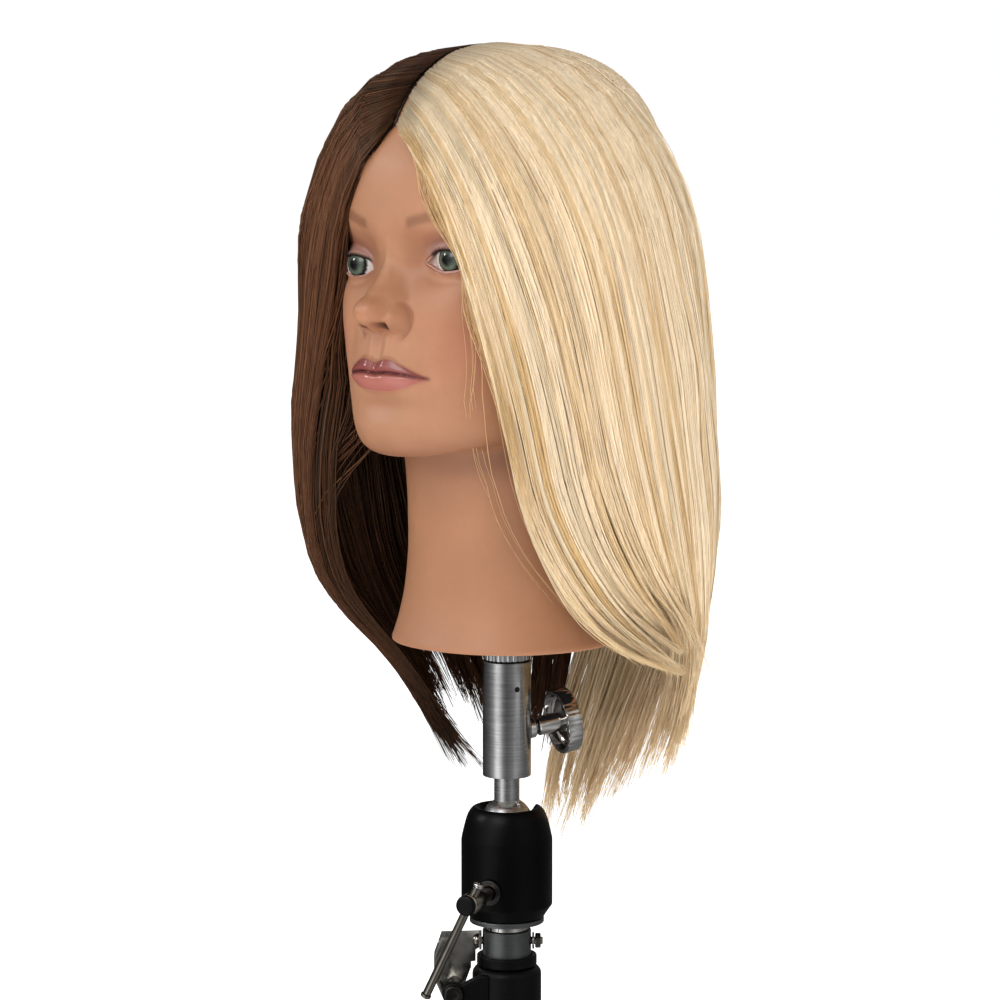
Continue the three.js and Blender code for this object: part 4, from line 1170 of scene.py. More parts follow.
def make_lock():
    part("lock_screw_body", "lock_screw", "lock", "nickel",
         [[0, 3.2], [3.5, 7.6], [3.5, 39.2], [4.6, 39.9], [5.5, 41.0], [5.5, 54.3],
          [4.9, 55.1], [0, 55.1]],
         rounding=0.5, place=LOCK_FRAME, edge=0.25, turned=False,
         holes=[(2.45, BAR_CENTRE - BAR_DIR * 20, BAR_CENTRE + BAR_DIR * 20)])
    part("lock_washer_ring", "lock_washer", "lock", "dark_steel",
         ring_outline(3.8, 6.6, 24.5, 25.7), rounding=0.35, place=LOCK_FRAME, slot="brass",
         turned=False)
    part("lock_cap_disc", "lock_cap", "lock", "black_plastic",
         [[0, 55.4], [5.2, 55.4], [5.5, 56.0], [5.2, 57.1], [4.4, 57.7], [2.4, 58.0], [0, 58]],
         rounding=0.4, place=LOCK_FRAME, turned=False)
    bar = dict(segments=64, place=BAR_FRAME, turned=False)
    part("tommy_bar_rod", "tommy_bar", "t_bar", "bar_chrome",
         [[0, -55.2], [2.25, -55.2], [2.25, 9.8], [0, 9.8]], rounding=0.3, **bar)
    part("bar_collar_end", "bar_collar", "t_bar", "bar_chrome",
         [[0, -57.5], [2.0, -57.5], [2.8, -56.9], [2.8, -55.6], [2.4, -55.5], [0, -55.5]],
         rounding=0.35, **bar)
    part("bar_cap_end", "bar_cap", "t_bar", "chrome",
         [[0, 10.1], [2.8, 10.1], [2.8, 11.7], [2.0, 12.4], [0, 12.7]],
         rounding=0.5, steps=5, **bar)


def make_stud():
    ball = [[0, BALL_Z - BALL_RADIUS]] + arc(0, BALL_Z, BALL_RADIUS, -86, 61, 34)
    spigot = [[6.75, 151.55], [6.7, 152.2], [6.7, 197.4], [6.1, 198], [2.3, 198], [2.3, 186],
              [0, 185]]
    part("ball_and_spigot", "ball_stud", "stud", "turned", ball + spigot,
         segments=FINE_SEGMENTS, turned=False, sharp=30)


# ------------------------------------------------------------------ stand: holder and knob
KNOB_DIR = Vector((0.434105, 0.890047, 0.139173)).normalized()
KNOB_Z = 187.1
KNOB_FRAME = aim_matrix((0, 0, KNOB_Z), KNOB_DIR)
KNOB_FACE = 28.3                 # the rim's near face, along the knob's axis
KNOB_THICKNESS = 8.4


def direction_from_front(degrees):
    """Level direction at an angle from -Y towards +X."""
    angle = math.radians(degrees)
    return Vector((math.sin(angle), -math.cos(angle), 0))


def make_holder():
    knob_dir = stand_matrix().inverted() @ KNOB_DIR       # in the stand's frame
    part("tube_body", "holder_tube", "holder", "aluminium",
         ring_outline(11.1, 12.7, 164.7, 225.8), rounding=0.5, steps=5, segments=160,
         holes=[cross_hole(1.45, direction_from_front(25), 212, 5, 30, 32),
                cross_hole(3.9, knob_dir, KNOB_Z, 5, 40, 48)],
         edge=0.18, sharp=40)

    def knurl(angles, r):
        if r < 10.5:
            return np.full(len(angles), r)
        phase = tooth_phase(angles)
        return r - 0.55 + 0.55 * (ease(0.0, 0.30, phase) * (1 - ease(0.70, 1.0, phase)))

    part("knurled_collar_ring", "knurled_collar", "holder", "turned",
         [[9.3, 226.1], [11.5, 226.1], [11.8, 226.5], [11.8, 236.8], [11.5, 237.2],
          [9.3, 237.2], [9.3, 226.1]],
         rounding=0.2, steps=3, segments=288, radial=knurl, sharp=30,
         holes=[cross_hole(1.9, direction_from_front(degrees), 231.4, 5, 20, 32)
                for degrees in (-60, 60, 180)])


def thread_outline(lower_radius, upper_radius, pitch=1.0, depth=0.28):
    """Pointed screw end with grooves for a thread; the radius changes at z = 17."""
    outline = [[0, 7.6], [1.5, 7.6], [lower_radius, 9.3]]
    z = 9.6
    while z < 27.4:
        r = lower_radius if z < 17.0 else upper_radius
        outline += [[r, z], [r - depth, z + pitch * 0.5]]
        z += pitch
    return outline + [[upper_radius, 28.5], [0, 28.5]]


def make_knob():
    def flutes(angles, r):
        if r < 16.2:
            return np.full(len(angles), r)
        dent = np.clip(1 - ((tooth_phase(angles) - 0.5) / 0.20) ** 2, 0, 1) ** 0.7
        return r - 0.16 * dent * ease(16.2, 17.1, r)

    near, far = KNOB_FACE, KNOB_FACE + KNOB_THICKNESS
    part("knob_body", "clamp_knob", "knob", "chrome",
         [[3.4, 17.4], [4.7, 17.4], [5.1, 17.9], [5.1, near + 3.2], [5.6, near + 4.1],
          [7, near + 4.6], [12.6, near + 4.4], [14.0, near + 3.8], [14.6, near + 2.6],
          [14.9, near + 0.2], [15.4, near - 0.05], [16.6, near], [17.1, near + 0.3],
          [17.3, near + 0.9], [17.3, far - 1.2], [17.05, far - 0.4], [16.3, far],
          [12.0, far + 0.35], [6, far + 0.6], [0, far + 0.8], [0, 28.8], [3.4, 28.8],
          [3.4, 17.4]],
         segments=256, radial=flutes, place=KNOB_FRAME, turned=False, sharp=38)
    # the boss is hollowed to sit on the tube
    part("knob_boss_ring", "knob_boss", "holder", "chrome",
         [[3.9, 9], [5.6, 9], [5.6, 14.9], [5.1, 15.4], [3.9, 15.4], [3.9, 9]],
         rounding=0.3, place=KNOB_FRAME, turned=False,
         holes=[(13.0, (0, 0, 150), (0, 0, 230), 160)])
    part("knob_screw_thread", "knob_screw", "knob", "steel", thread_outline(3.4, 3.1),
         segments=64, place=KNOB_FRAME, turned=False, sharp=50)


# ------------------------------------------------------------------ stand: pivot and stay
PIVOT_X, PIVOT_Z = -28.0, 51.0
PIVOT_FRAME = aim_matrix((PIVOT_X, 0, PIVOT_Z), (0, -1, 0))
PIVOT_HOLE = (2.2, (PIVOT_X, -30, PIVOT_Z), (PIVOT_X, 30, PIVOT_Z))


def make_column_head():
    """Moulded head of the column with an ear for the pivot bolt."""
    shoulder = arc(13.7, 58.5, 4.5, 0, 90, 10)
    body = revolve("column_body", [[COLUMN_BORE, 0], [18.2, 0]] + shoulder
                   + [[COLUMN_BORE, 63], [COLUMN_BORE, 0]], 160)
    outline = ([(-9.5, 61), (-14.5, 60.5), (-24.2, 55.6)]
               + arc(PIVOT_X, PIVOT_Z, 6, 62, 268, 26)
               + [(-16, 43.2), (-14, 38), (-9.5, 38)])
    ear = extrude_xz("ear", outline, -16.5, -10.5)
    bevel(ear, 0.9, segments=3, angle=35)
    boolean(body, [ear], "UNION")
    boolean(body, [rod_cutter(COLUMN_BORE, (0, 0, -5), (0, 0, 80), 160),
                   rod_cutter(*PIVOT_HOLE)])
    finish(body, "column_head", "column", "black_plastic", sharp=38)


def make_stay():
    """Pressed stay: a plate and the flanges along its edges."""
    plate = [(-13.3, 72), (-13.3, 80), (-34.5, 79.5), (-38.4, 68.5), (-38.4, 60), (-34, 49),
             (-30.5, 44), (-25, 45.5), (-21.5, 53.5), (-18.9, 60.5), (-18.9, 63.4),
             (-16.5, 63.8), (-16.5, 69.8)]
    # outline, first y, last y
    flanges = [
        ([(-38.4, 68.5), (-34.5, 79.5), (-32.4, 79.5), (-36.8, 68.2), (-36.8, 58.5),
          (-31, 44.4), (-32.6, 44.4), (-38.4, 58)], -8.8, 4.7),
        ([(-38.4, 68.5), (-34.5, 79.5), (-29.4, 79.5), (-33, 68.5)], -8.8, -7.2),
        ([(-14.6, 72), (-14.6, 80), (-13.3, 80), (-13.3, 72)], -4, 6.2),
    ]
    stay = extrude_xz("stay_plate", plate, 4.6, 6.2)
    boolean(stay, [extrude_xz("flange", *flange) for flange in flanges], "UNION")
    boolean(stay, [rod_cutter(*PIVOT_HOLE),
                   rod_cutter(*cross_hole(2.4, X_AXIS, CROSS_Z, -40, 40))])
    bevel(stay, 0.35, angle=35)
    finish(stay, "stay_bracket", "column", "steel", sharp=38)


def make_pivot():
    part("pivot_bolt_body", "pivot_bolt", "column", "dark_steel",
         [[0, -9.6], [1.9, -9.6], [1.9, 16.9], [5.5, 16.9], [5.5, 18.6], [4.8, 20.0],
          [4.2, 20.2], [2.6, 20.2], [2.2, 19.2], [0, 19.2]],
         rounding=0.3, segments=72, place=PIVOT_FRAME)
    part("pivot_spacer_tube", "pivot_spacer", "column", "chrome",
         ring_outline(2.3, 4.1, -4.2, 10.1), rounding=0.25, segments=64, place=PIVOT_FRAME)
    hex_nut("pivot_nut_hex", "pivot_nut", "steel", bore=2.3, low=0.0, high=2.8,
            place=aim_matrix((PIVOT_X, 9.4, PIVOT_Z), (0, -1, 0)))


# CAD pieces that keep their shape: node, finish
KEPT_NODES = {
    "post_set_screw": "dark_steel", "set_screw_1": "dark_steel", "set_screw_2": "dark_steel",
    "set_screw_3": "dark_steel", "stud_screw": "dark_steel", "stud_washer": "steel",
    "swivel_bush": "nylon", "adapter_post": "dark_plastic", "neck_socket": "dark_plastic",
    "housing_base_plug": "turned", "pan_washer": "nylon", "pan_nut": "steel",
    "ball_seat": "nylon", "wedge_plunger": "brass", "preload_spring": "steel",
}


def make_stand():
    make_column()
    make_cross_bolt()
    make_housing()
    make_lock()
    make_stud()
    make_holder()
    make_knob()
    make_column_head()
    make_stay()
    make_pivot()
    for node, material in KEPT_NODES.items():
        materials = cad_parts[node].data.materials
        materials.clear()
        materials.append(MATERIALS[material])


make_stand()

# ------------------------------------------------------------------ hair: measurements
# Guide strands of the outer surface as x, y, z from root to tip. One list per guide, at
# these places from the front edge (0) to the middle of the back (1).
GUIDE_PLACES = np.array([0.0, 0.12, 0.25, 0.42, 0.60, 0.80, 1.0])
BLONDE = [
    [(1.5, -85, 506), (12, -90, 498), (24, -92, 486), (36, -91, 467), (46, -87, 440),
     (56, -83, 405), (60.5, -75, 371), (63, -69, 345), (66, -63, 318), (73, -50, 286),
     (83, -31, 257), (91, -11, 240), (97, 12, 229)],
    [(1, -70, 526), (22, -79, 519), (44, -82, 498), (60, -78, 468), (71, -70, 432),
     (78, -61, 396), (82, -53, 362), (85, -45, 326), (90, -30, 291), (95.5, -10, 264),
     (98, 12, 246), (96, 31, 232)],
    [(1, -50, 539), (28, -54, 533), (54, -53, 514), (74, -47, 486), (87, -39, 450),
     (93, -30, 412), (96, -22, 375), (98, -14, 340), (100, -4, 305), (101, 11, 277),
     (99.5, 28, 254), (94, 43, 234)],
    [(1, -30, 545), (30, -29, 541), (60, -24, 525), (81, -18, 496), (93, -8, 458),
     (98, 2, 418), (100, 12, 378), (100, 21, 340), (99, 30, 305), (96, 40, 272),
     (90, 50, 243), (82, 56, 215), (72, 60, 184)],
    [(1, -15, 546.5), (24, 0, 544.5), (50, 12, 532), (72, 26, 505), (84, 41, 468),
     (88, 50, 428), (88, 58, 388), (88, 64, 348), (86, 70, 310), (83, 70, 275),
     (77, 69, 245), (66, 69, 212), (53, 68, 172)],
    [(1, -8, 547), (13, 12, 545), (29, 34, 533), (44, 55, 508), (54, 73, 472),
     (57, 84, 432), (56, 92, 392), (53, 96, 352), (48, 97, 315), (42, 96, 280),
     (34, 93, 248), (20, 89, 210), (3, 84, 168), (-9, 80, 136)],
    [(0.5, -5, 547), (2, 20, 545), (3, 47, 536), (3, 73, 512), (3, 92, 476),
     (2, 102, 436), (0, 105, 396), (-2, 105, 356), (-5, 103, 318), (-9, 100, 282),
     (-16, 96, 250), (-28, 90, 210), (-36, 85, 176), (-40, 82, 148), (-38, 80, 118)],
]
BROWN = [
    [(-1.5, -85, 506), (-9, -90, 498), (-18, -92, 484), (-30, -90, 463), (-40, -86, 440),
     (-48, -81, 415), (-57, -79, 388), (-67, -76, 360), (-76, -72, 333), (-83, -66, 307),
     (-88, -57, 283), (-90, -44, 260), (-89, -27, 241), (-84, -6, 220), (-78, 14, 194),
     (-68, 44, 156)],
    [(-1, -70, 526), (-27, -82, 520), (-46, -84, 497), (-62, -83, 468), (-73, -80, 438),
     (-80, -76, 405), (-86, -72, 370), (-91, -67, 336), (-95, -60, 305), (-97, -49, 278),
     (-96, -35, 256), (-91, -15, 235), (-85, 4, 213), (-75, 30, 176)],
    [(-1, -50, 539), (-30, -57, 534), (-54, -59, 516), (-72, -58, 488), (-85, -54, 455),
     (-93, -50, 418), (-97, -45, 380), (-100, -40, 342), (-101, -33, 305), (-101, -23, 274),
     (-98, -9, 248), (-92, 9, 222), (-83, 26, 194)],
    [(-1, -30, 545), (-30, -31, 541), (-60, -28, 525), (-81, -23, 497), (-93, -14, 459),
     (-98, -5, 419), (-100, 4, 379), (-100, 12, 341), (-99, 20, 306), (-97, 30, 273),
     (-91, 42, 244), (-83, 52, 216), (-73, 56, 186)],
    [(-1, -15, 546.5), (-24, 0, 544.5), (-50, 12, 532), (-72, 26, 505), (-83, 40, 468),
     (-87, 50, 428), (-87, 58, 388), (-85, 65, 348), (-82, 70, 310), (-78, 71, 275),
     (-72, 69, 245), (-64, 66, 214), (-54, 62, 182)],
    [(-1, -8, 547), (-13, 12, 545), (-29, 34, 533), (-44, 55, 508), (-54, 73, 472),
     (-57, 84, 432), (-56, 92, 392), (-54, 96, 352), (-51, 96, 315), (-49, 93, 280),
     (-47, 87, 250), (-44, 78, 214), (-42, 68, 176)],
    [(-0.5, -5, 547), (-2, 20, 545), (-3, 47, 536), (-3, 73, 512), (-4, 92, 476),
     (-5, 102, 436), (-8, 105, 396), (-11, 105, 356), (-14, 103, 318), (-18, 99, 282),
     (-23, 91, 250), (-26, 79, 212), (-27, 70, 168)],
]
CUT_Z = 237.4                    # strands are split at the neck's lower edge
TABLE_PLACES, TABLE_STEPS = 121, 97
STRAND_POINTS = 21
CLUMPS = 95
SKULL_Z = 455.0                  # the skull is domed above this level
SKULL_HEIGHT = 89.0
MAX_TRIANGLES = 185000           # in one hair object


def guide_table(guides):
    """Points of the hair's outer surface by place (rows) and by share of length."""
    rows = []
    for guide in guides:
        guide = np.array(guide, float)
        lengths = np.linalg.norm(np.diff(guide, axis=0), axis=1)
        knots = np.concatenate([[0], np.cumsum(lengths)])
        fine = spline_rows(knots, guide, np.linspace(0, knots[-1], 600))
        lengths = np.linalg.norm(np.diff(fine, axis=0), axis=1)
        travelled = np.concatenate([[0], np.cumsum(lengths)])
        even = np.linspace(0, travelled[-1], TABLE_STEPS)
        rows.append(np.stack([np.interp(even, travelled, fine[:, k]) for k in range(3)], 1))
    return spline_rows(GUIDE_PLACES, np.array(rows), np.linspace(0, 1, TABLE_PLACES))


def bilinear(table, i, j, a, b):
    return (table[i, j] * (1 - a) * (1 - b) + table[i + 1, j] * a * (1 - b)
            + table[i, j + 1] * (1 - a) * b + table[i + 1, j + 1] * a * b)


def sample(table, place, length):
    """Point at a place and share of length. Beyond 1 the last step carries on."""
    places, steps = table.shape[:2]
    row = np.clip(place, 0, 1) * (places - 1)
    column = np.clip(length, 0, 1) * (steps - 1)
    i = np.clip(row.astype(int), 0, places - 2)
    j = np.clip(column.astype(int), 0, steps - 2)
    point = bilinear(table, i, j, (row - i)[..., None], (column - j)[..., None])
    over = np.clip(length - 1, 0, 0.2)[..., None] * (steps - 1)
    nearest = np.round(row).astype(int)
    return point + over * (table[nearest, -1] - table[nearest, -2])


def level(points):
    """1 on the skin, above 1 outside it."""
    x, y, z = points[..., 0], points[..., 1], points[..., 2]
    ring_z, half_width, front, back = RINGS[::-1, [1, 3, 4, 5]].T
    low_z = np.clip(z, 238, SKULL_Z)
    depth = np.where(y < 0, -np.interp(low_z, ring_z, front), np.interp(low_z, ring_z, back))
    across = np.abs(x) / np.interp(low_z, ring_z, half_width)
    flat = (across**RING_POWER + (np.abs(y) / depth) ** RING_POWER) ** (1 / RING_POWER)
    height = np.clip(z - SKULL_Z, 0, None) / SKULL_HEIGHT
    dome_power = 2.55
    return (flat**dome_power + height**dome_power) ** (1 / dome_power)


def core_point(points):
    """The skull's middle for points above SKULL_Z, the axis point beside them below it."""
    z = points[..., 2:3]
    return np.where(z > SKULL_Z, np.array([0, 0, SKULL_Z]), np.array([0, 0, 1.0]) * z)


def above_skin(points):
    """Skin points beneath the points, the gaps between, and unit directions outwards."""
    core = core_point(points)
    skin = core + (points - core) / level(points)[..., None]
    gap = np.linalg.norm(points - skin, axis=-1)
    return skin, gap, (points - skin) / np.maximum(gap, 1e-3)[..., None]


def random_field(rng, rows, columns):
    """Random values, smoothed once down the rows."""
    values = rng.standard_normal((rows, columns))
    kernel = np.array([1, 2, 1]) / 4
    return np.apply_along_axis(
        lambda column: np.convolve(np.pad(column, 1, "edge"), kernel, "valid"), 0, values)


def read_field(values, place, length):
    rows, columns = values.shape
    row = np.clip(place, 0, 1) * (rows - 1.001)
    column = np.clip(length, 0, 1) * (columns - 1.001)
    i, j = row.astype(int), column.astype(int)
    a, b = row - i, column - j
    return bilinear(values, i, j, a * a * (3 - 2 * a), b * b * (3 - 2 * b))


def push_off_skin(points):
    for _ in range(2):
        core = core_point(points)
        outside = level(points)
        skin = core + (points - core) / outside[..., None]
        needed = 1.0 + 0.9 / np.maximum(np.linalg.norm(skin - core, axis=-1), 5)
        scale = np.where(outside < needed, needed / np.maximum(outside, 1e-3), 1.0)
        scale = np.where(points[..., 2] < 237, 1.0, scale)
        points = core + (points - core) * scale[..., None]
    # near the neck's edge and below it, clear of the axis
    clear_z, clear_radius = 252, 62
    radius = np.hypot(points[..., 0], points[..., 1])
    too_close = (points[..., 2] < clear_z) & (radius < clear_radius)
    scale = np.where(too_close, clear_radius / np.maximum(radius, 1), 1)
    points[..., :2] *= scale[..., None]
    return points


def make_strands(table, count, seed, width):
    """Strands gathered in clumps. Depth runs from 0 at the outer surface to 1 inside."""
    rng = np.random.default_rng(seed)
    clump_place = np.sort((np.arange(CLUMPS) + rng.random(CLUMPS)) / CLUMPS)
    place = (np.arange(count) + rng.random(count)) / count
    outer = rng.random(count) < 0.64
    depth = np.where(outer, 0.16 * rng.random(count), 0.16 + 0.84 * rng.random(count))
    root = np.where(outer & (rng.random(count) < 0.72), 0.012 * rng.random(count),
                    0.40 * rng.random(count) ** 1.3)
    # half the strands at the front edge start near the hairline
    root = np.where((place < 0.16) & (rng.random(count) < 0.5), 0.20 * rng.random(count), root)
    clump_distance = (np.abs(clump_place[None, :] - place[:, None])
                      + 0.006 * rng.random((count, CLUMPS)))
    clump = clump_distance.argmin(1)
    strength = (0.35 + 0.6 * rng.random(CLUMPS))[clump]
    clump_depth = (0.4 * rng.random(CLUMPS))[clump]
    clump_length = (0.030 * rng.standard_normal(CLUMPS))[clump]
    end = (1.0 - 0.05 * np.abs(rng.standard_normal(count))
           - np.where(outer, 0, 0.20 * depth * rng.random(count)) + clump_length)
    end = np.clip(end, 0.72, 1.025)
    t = np.linspace(0, 1, STRAND_POINTS)
    t = 0.65 * t + 0.35 * np.sin(t * np.pi / 2)
    length = root[:, None] + (end - root)[:, None] * t[None, :]

    # draw towards the clump's middle, then two slow waves sideways
    pull = strength[:, None] * np.clip((length - 0.25) / 0.75, 0, 1) ** 1.4
    course = place[:, None] + (clump_place[clump] - place)[:, None] * 0.85 * pull
    phase = rng.random(CLUMPS)[clump] * 6.28
    waves = (1.0 + 1.2 * rng.random(CLUMPS))[clump]
    course = course + 0.0030 * np.sin(waves[:, None] * length * 6.28 + phase[:, None]) * length
    waves = 1.5 + 2 * rng.random(count)
    phase = 6.28 * rng.random(count)
    course = course + 0.0022 * np.sin(waves[:, None] * length * 6.28 + phase[:, None]) * length
    layer_depth = depth[:, None] + (clump_depth - depth)[:, None] * 0.35 * pull

    points = sample(table, course, length)
    _, gap, outward = above_skin(points)
    most = 0.80 * gap
    thickness = np.where(points[..., 2] > 400, most, np.minimum(17.0, most))
    layer = thickness * layer_depth
    # leaves the scalp at its root, then lifts to its layer
    from_root = length - root[:, None]
    rise = ease(0, 0.16, from_root)
    at_root = np.where(root[:, None] > 0.013, np.minimum(gap - 0.3, 60), layer)
    layer = layer * rise + at_root * (1 - rise)
    broad = random_field(rng, 46, 9)
    close = random_field(rng, 150, 14)
    wobble = 1.5 * read_field(broad, course, length) + 0.7 * read_field(close, course, length)
    layer = layer - wobble * np.clip(length / 0.25, 0, 1) + 0.8
    points = points - outward * layer[..., None]

    # tips stray a little
    tip = np.clip((length - 0.78) / 0.22, 0, 1.2) ** 2
    stray = ((rng.standard_normal((CLUMPS, 3)) * np.array([3.0, 3.0, 1.5]))[clump]
             + rng.standard_normal((count, 3)) * np.array([1.6, 1.6, 0.8]))
    points = points + tip[..., None] * stray[:, None, :]
    # a few hairs stand off the surface
    loose = rng.random(count) < 0.006
    lift = np.zeros(count)
    lift[loose] = 0.8 + 1.8 * rng.random(int(loose.sum()))
    swell = np.sin(np.clip(from_root * 2.2, 0, 1) * np.pi * 0.7)
    points = push_off_skin(points + outward * (lift[:, None] * swell)[..., None])

    taper = (0.55 + 0.45 * np.clip(t / 0.10, 0, 1))
    taper_end = 1 - 0.80 * np.clip((t - 0.70) / 0.30, 0, 1) ** 1.3
    widths = width * (0.75 + 0.5 * rng.random(count))[:, None] * taper * taper_end
    widths = np.where(outer[:, None], widths, widths * 1.25)
    return {"points": points, "widths": widths, "depth": depth, "length": length,
            "clump": clump, "rng": rng}


def strand_mesh(name, strands):
    """Three-sided closed tubes, each with its own UV patch. A strand is (points, widths,
    colours)."""
    verts, tris, quads, tints, quad_uvs, tri_uvs = [], [], [], [], [], []
    per_row = max(1, int(math.ceil(math.sqrt(len(strands) / 2.0) * 1.9)))
    row_count = int(math.ceil(len(strands) / per_row))
    angles = np.array([0, 2.0944, 4.18879])
    cosines, sines = np.cos(angles)[None, :, None], np.sin(angles)[None, :, None]
    start = 0
    for k, (points, widths, colours) in enumerate(strands):
        count = len(points)
        along = np.gradient(points, axis=0)
        along /= np.linalg.norm(along, axis=1)[:, None] + 1e-9
        # the flat side faces away from the axis, and up over the crown
        outward = points.copy()
        outward[:, 2] = 0
        crown = np.clip((points[:, 2] - 455) / 60, 0, 1)[:, None]
        outward = (outward / (np.linalg.norm(outward, axis=1)[:, None] + 1e-9) * (1 - crown)
                   + np.array([0, 0, 1.0]) * crown)
        outward = outward - (outward * along).sum(1)[:, None] * along
        outward /= np.linalg.norm(outward, axis=1)[:, None] + 1e-9
        side = np.cross(along, outward)
        section = 0.72 * cosines * outward[:, None, :] + sines * side[:, None, :]
        verts.append((points[:, None, :] + widths[:, None, None] * section).reshape(-1, 3))
        grid = start + np.arange(count * 3).reshape(count, 3)
        quads.append(band(grid[:-1], grid[1:]))
        tris.append(np.array([grid[0, ::-1], grid[-1]]))
        tints.append(np.repeat(colours, 3, axis=0))

        row, column = divmod(k, per_row)
        u0, u1 = (column + 0.12) / per_row, (column + 0.88) / per_row
        v = (row + 0.03 + 0.94 * np.linspace(0, 1, count)) / row_count
        u_left = u0 + (u1 - u0) * np.array([0, 1 / 3, 2 / 3])
        u_right = u_left + (u1 - u0) / 3
        uv = np.empty((count - 1, 3, 4, 2))
        uv[..., 0] = np.stack([u_left, u_right, u_right, u_left], 1)
        uv[..., 1] = np.stack([v[:-1], v[:-1], v[1:], v[1:]], 1)[:, None]
        quad_uvs.append(uv.reshape(-1, 2))
        middle = (u0 + u1) / 2
        tri_uvs.append(np.array([[u1, v[0]], [middle, v[0] + 1e-4], [u0, v[0]],
                                 [u0, v[-1]], [middle, v[-1] - 1e-4], [u1, v[-1]]]))
        start += count * 3
    obj = mesh_object(name, np.concatenate(verts), [np.concatenate(quads), np.concatenate(tris)])
    color_attribute(obj.data, "tint", np.concatenate(tints))
    layer = obj.data.uv_layers.new(name="OFBake")
    uvs = np.concatenate(quad_uvs + tri_uvs)
    layer.data.foreach_set("uv", uvs.reshape(-1).astype(np.float32))
    return obj


def cut_strands(strands):
    """Splits every strand at CUT_Z into an upper and a lower part that lap a little."""
    upper, lower = [], []
    lap, lap_width = 0.9, 0.7
    for points, widths, colours in strands:
        below = np.flatnonzero(points[:, 2] < CUT_Z)
        if len(below) == 0:
            upper.append((points, widths, colours))
            continue
        i = below[0]
        if i == 0:
            continue
        share = (points[i - 1, 2] - CUT_Z) / (points[i - 1, 2] - points[i, 2] + 1e-9)
        cut, cut_width, cut_colour = [values[i - 1] * (1 - share) + values[i] * share
                                      for values in (points, widths, colours)]
        cut[2] = CUT_Z
        step = points[i] - points[i - 1]
        step = lap * step / (np.linalg.norm(step) + 1e-9)
        # points that nearly meet the cut are left out
        last = i if share > 0.03 else i - 1
        if last >= 2:
            upper.append((np.vstack([points[:last], cut, cut + step]),
                          np.append(widths[:last], [cut_width, lap_width * cut_width]),
                          np.vstack([colours[:last], cut_colour, cut_colour])))
        first = i if share < 0.97 else i + 1
        tail = points[first:].copy()
        tail[:, 2] = np.minimum(tail[:, 2], CUT_Z - 0.05)
        if len(tail) >= 2:
            lower.append((np.vstack([cut - step, cut - np.array([0, 0, 0.02]), tail]),
                          np.append([lap_width * cut_width, cut_width], widths[first:]),
                          np.vstack([cut_colour, cut_colour, colours[first:]])))
    return upper, lower


def tint_strands(hair, palette, weights, clump_share, variation, root_dark, tip_light,
                 depth_shade, streak_rgb, streak_start, streak_end, streak_share, tip_tone):
    """Colours of all strand points; clump_share is how far a clump's strands agree."""
    rng, clump, length = hair["rng"], hair["clump"], hair["length"]
    count = len(length)
    colours = np.array([srgb(*rgb) for rgb in palette])
    clump_pick = rng.choice(len(colours), size=CLUMPS, p=weights)
    strand_pick = rng.choice(len(colours), size=count, p=weights)
    base = colours[clump_pick[clump]] * clump_share + colours[strand_pick] * (1 - clump_share)
    base = base * (1 + variation * rng.standard_normal(count))[:, None]
    light = (1 - root_dark * (1 - np.clip(length / 0.10, 0, 1))
             + tip_light * np.clip((length - 0.6) / 0.4, 0, 1))
    # painted shade: strands deeper in the hair are darker
    light = light * (1 - depth_shade * np.clip(hair["depth"] * 1.2, 0, 1))[:, None]
    tint = base[:, None, :] * light[..., None]
    tip = np.clip((length - 0.70) / 0.25, 0, 1)[..., None]
    tint = tint * (1 - tip + tip * np.array(tip_tone))
    streaked = ((rng.random(CLUMPS) < streak_share)[clump]
                | (rng.random(count) < streak_share * 0.5))
    streak = (0.6 * np.clip((length - streak_start) / 0.15, 0, 1)
              * (1 - np.clip((length - streak_end) / 0.15, 0, 1)) * streaked[:, None])
    tint = tint * (1 - streak[..., None]) + np.array(srgb(*streak_rgb)) * streak[..., None]
    return np.clip(tint, 0.002, 1)


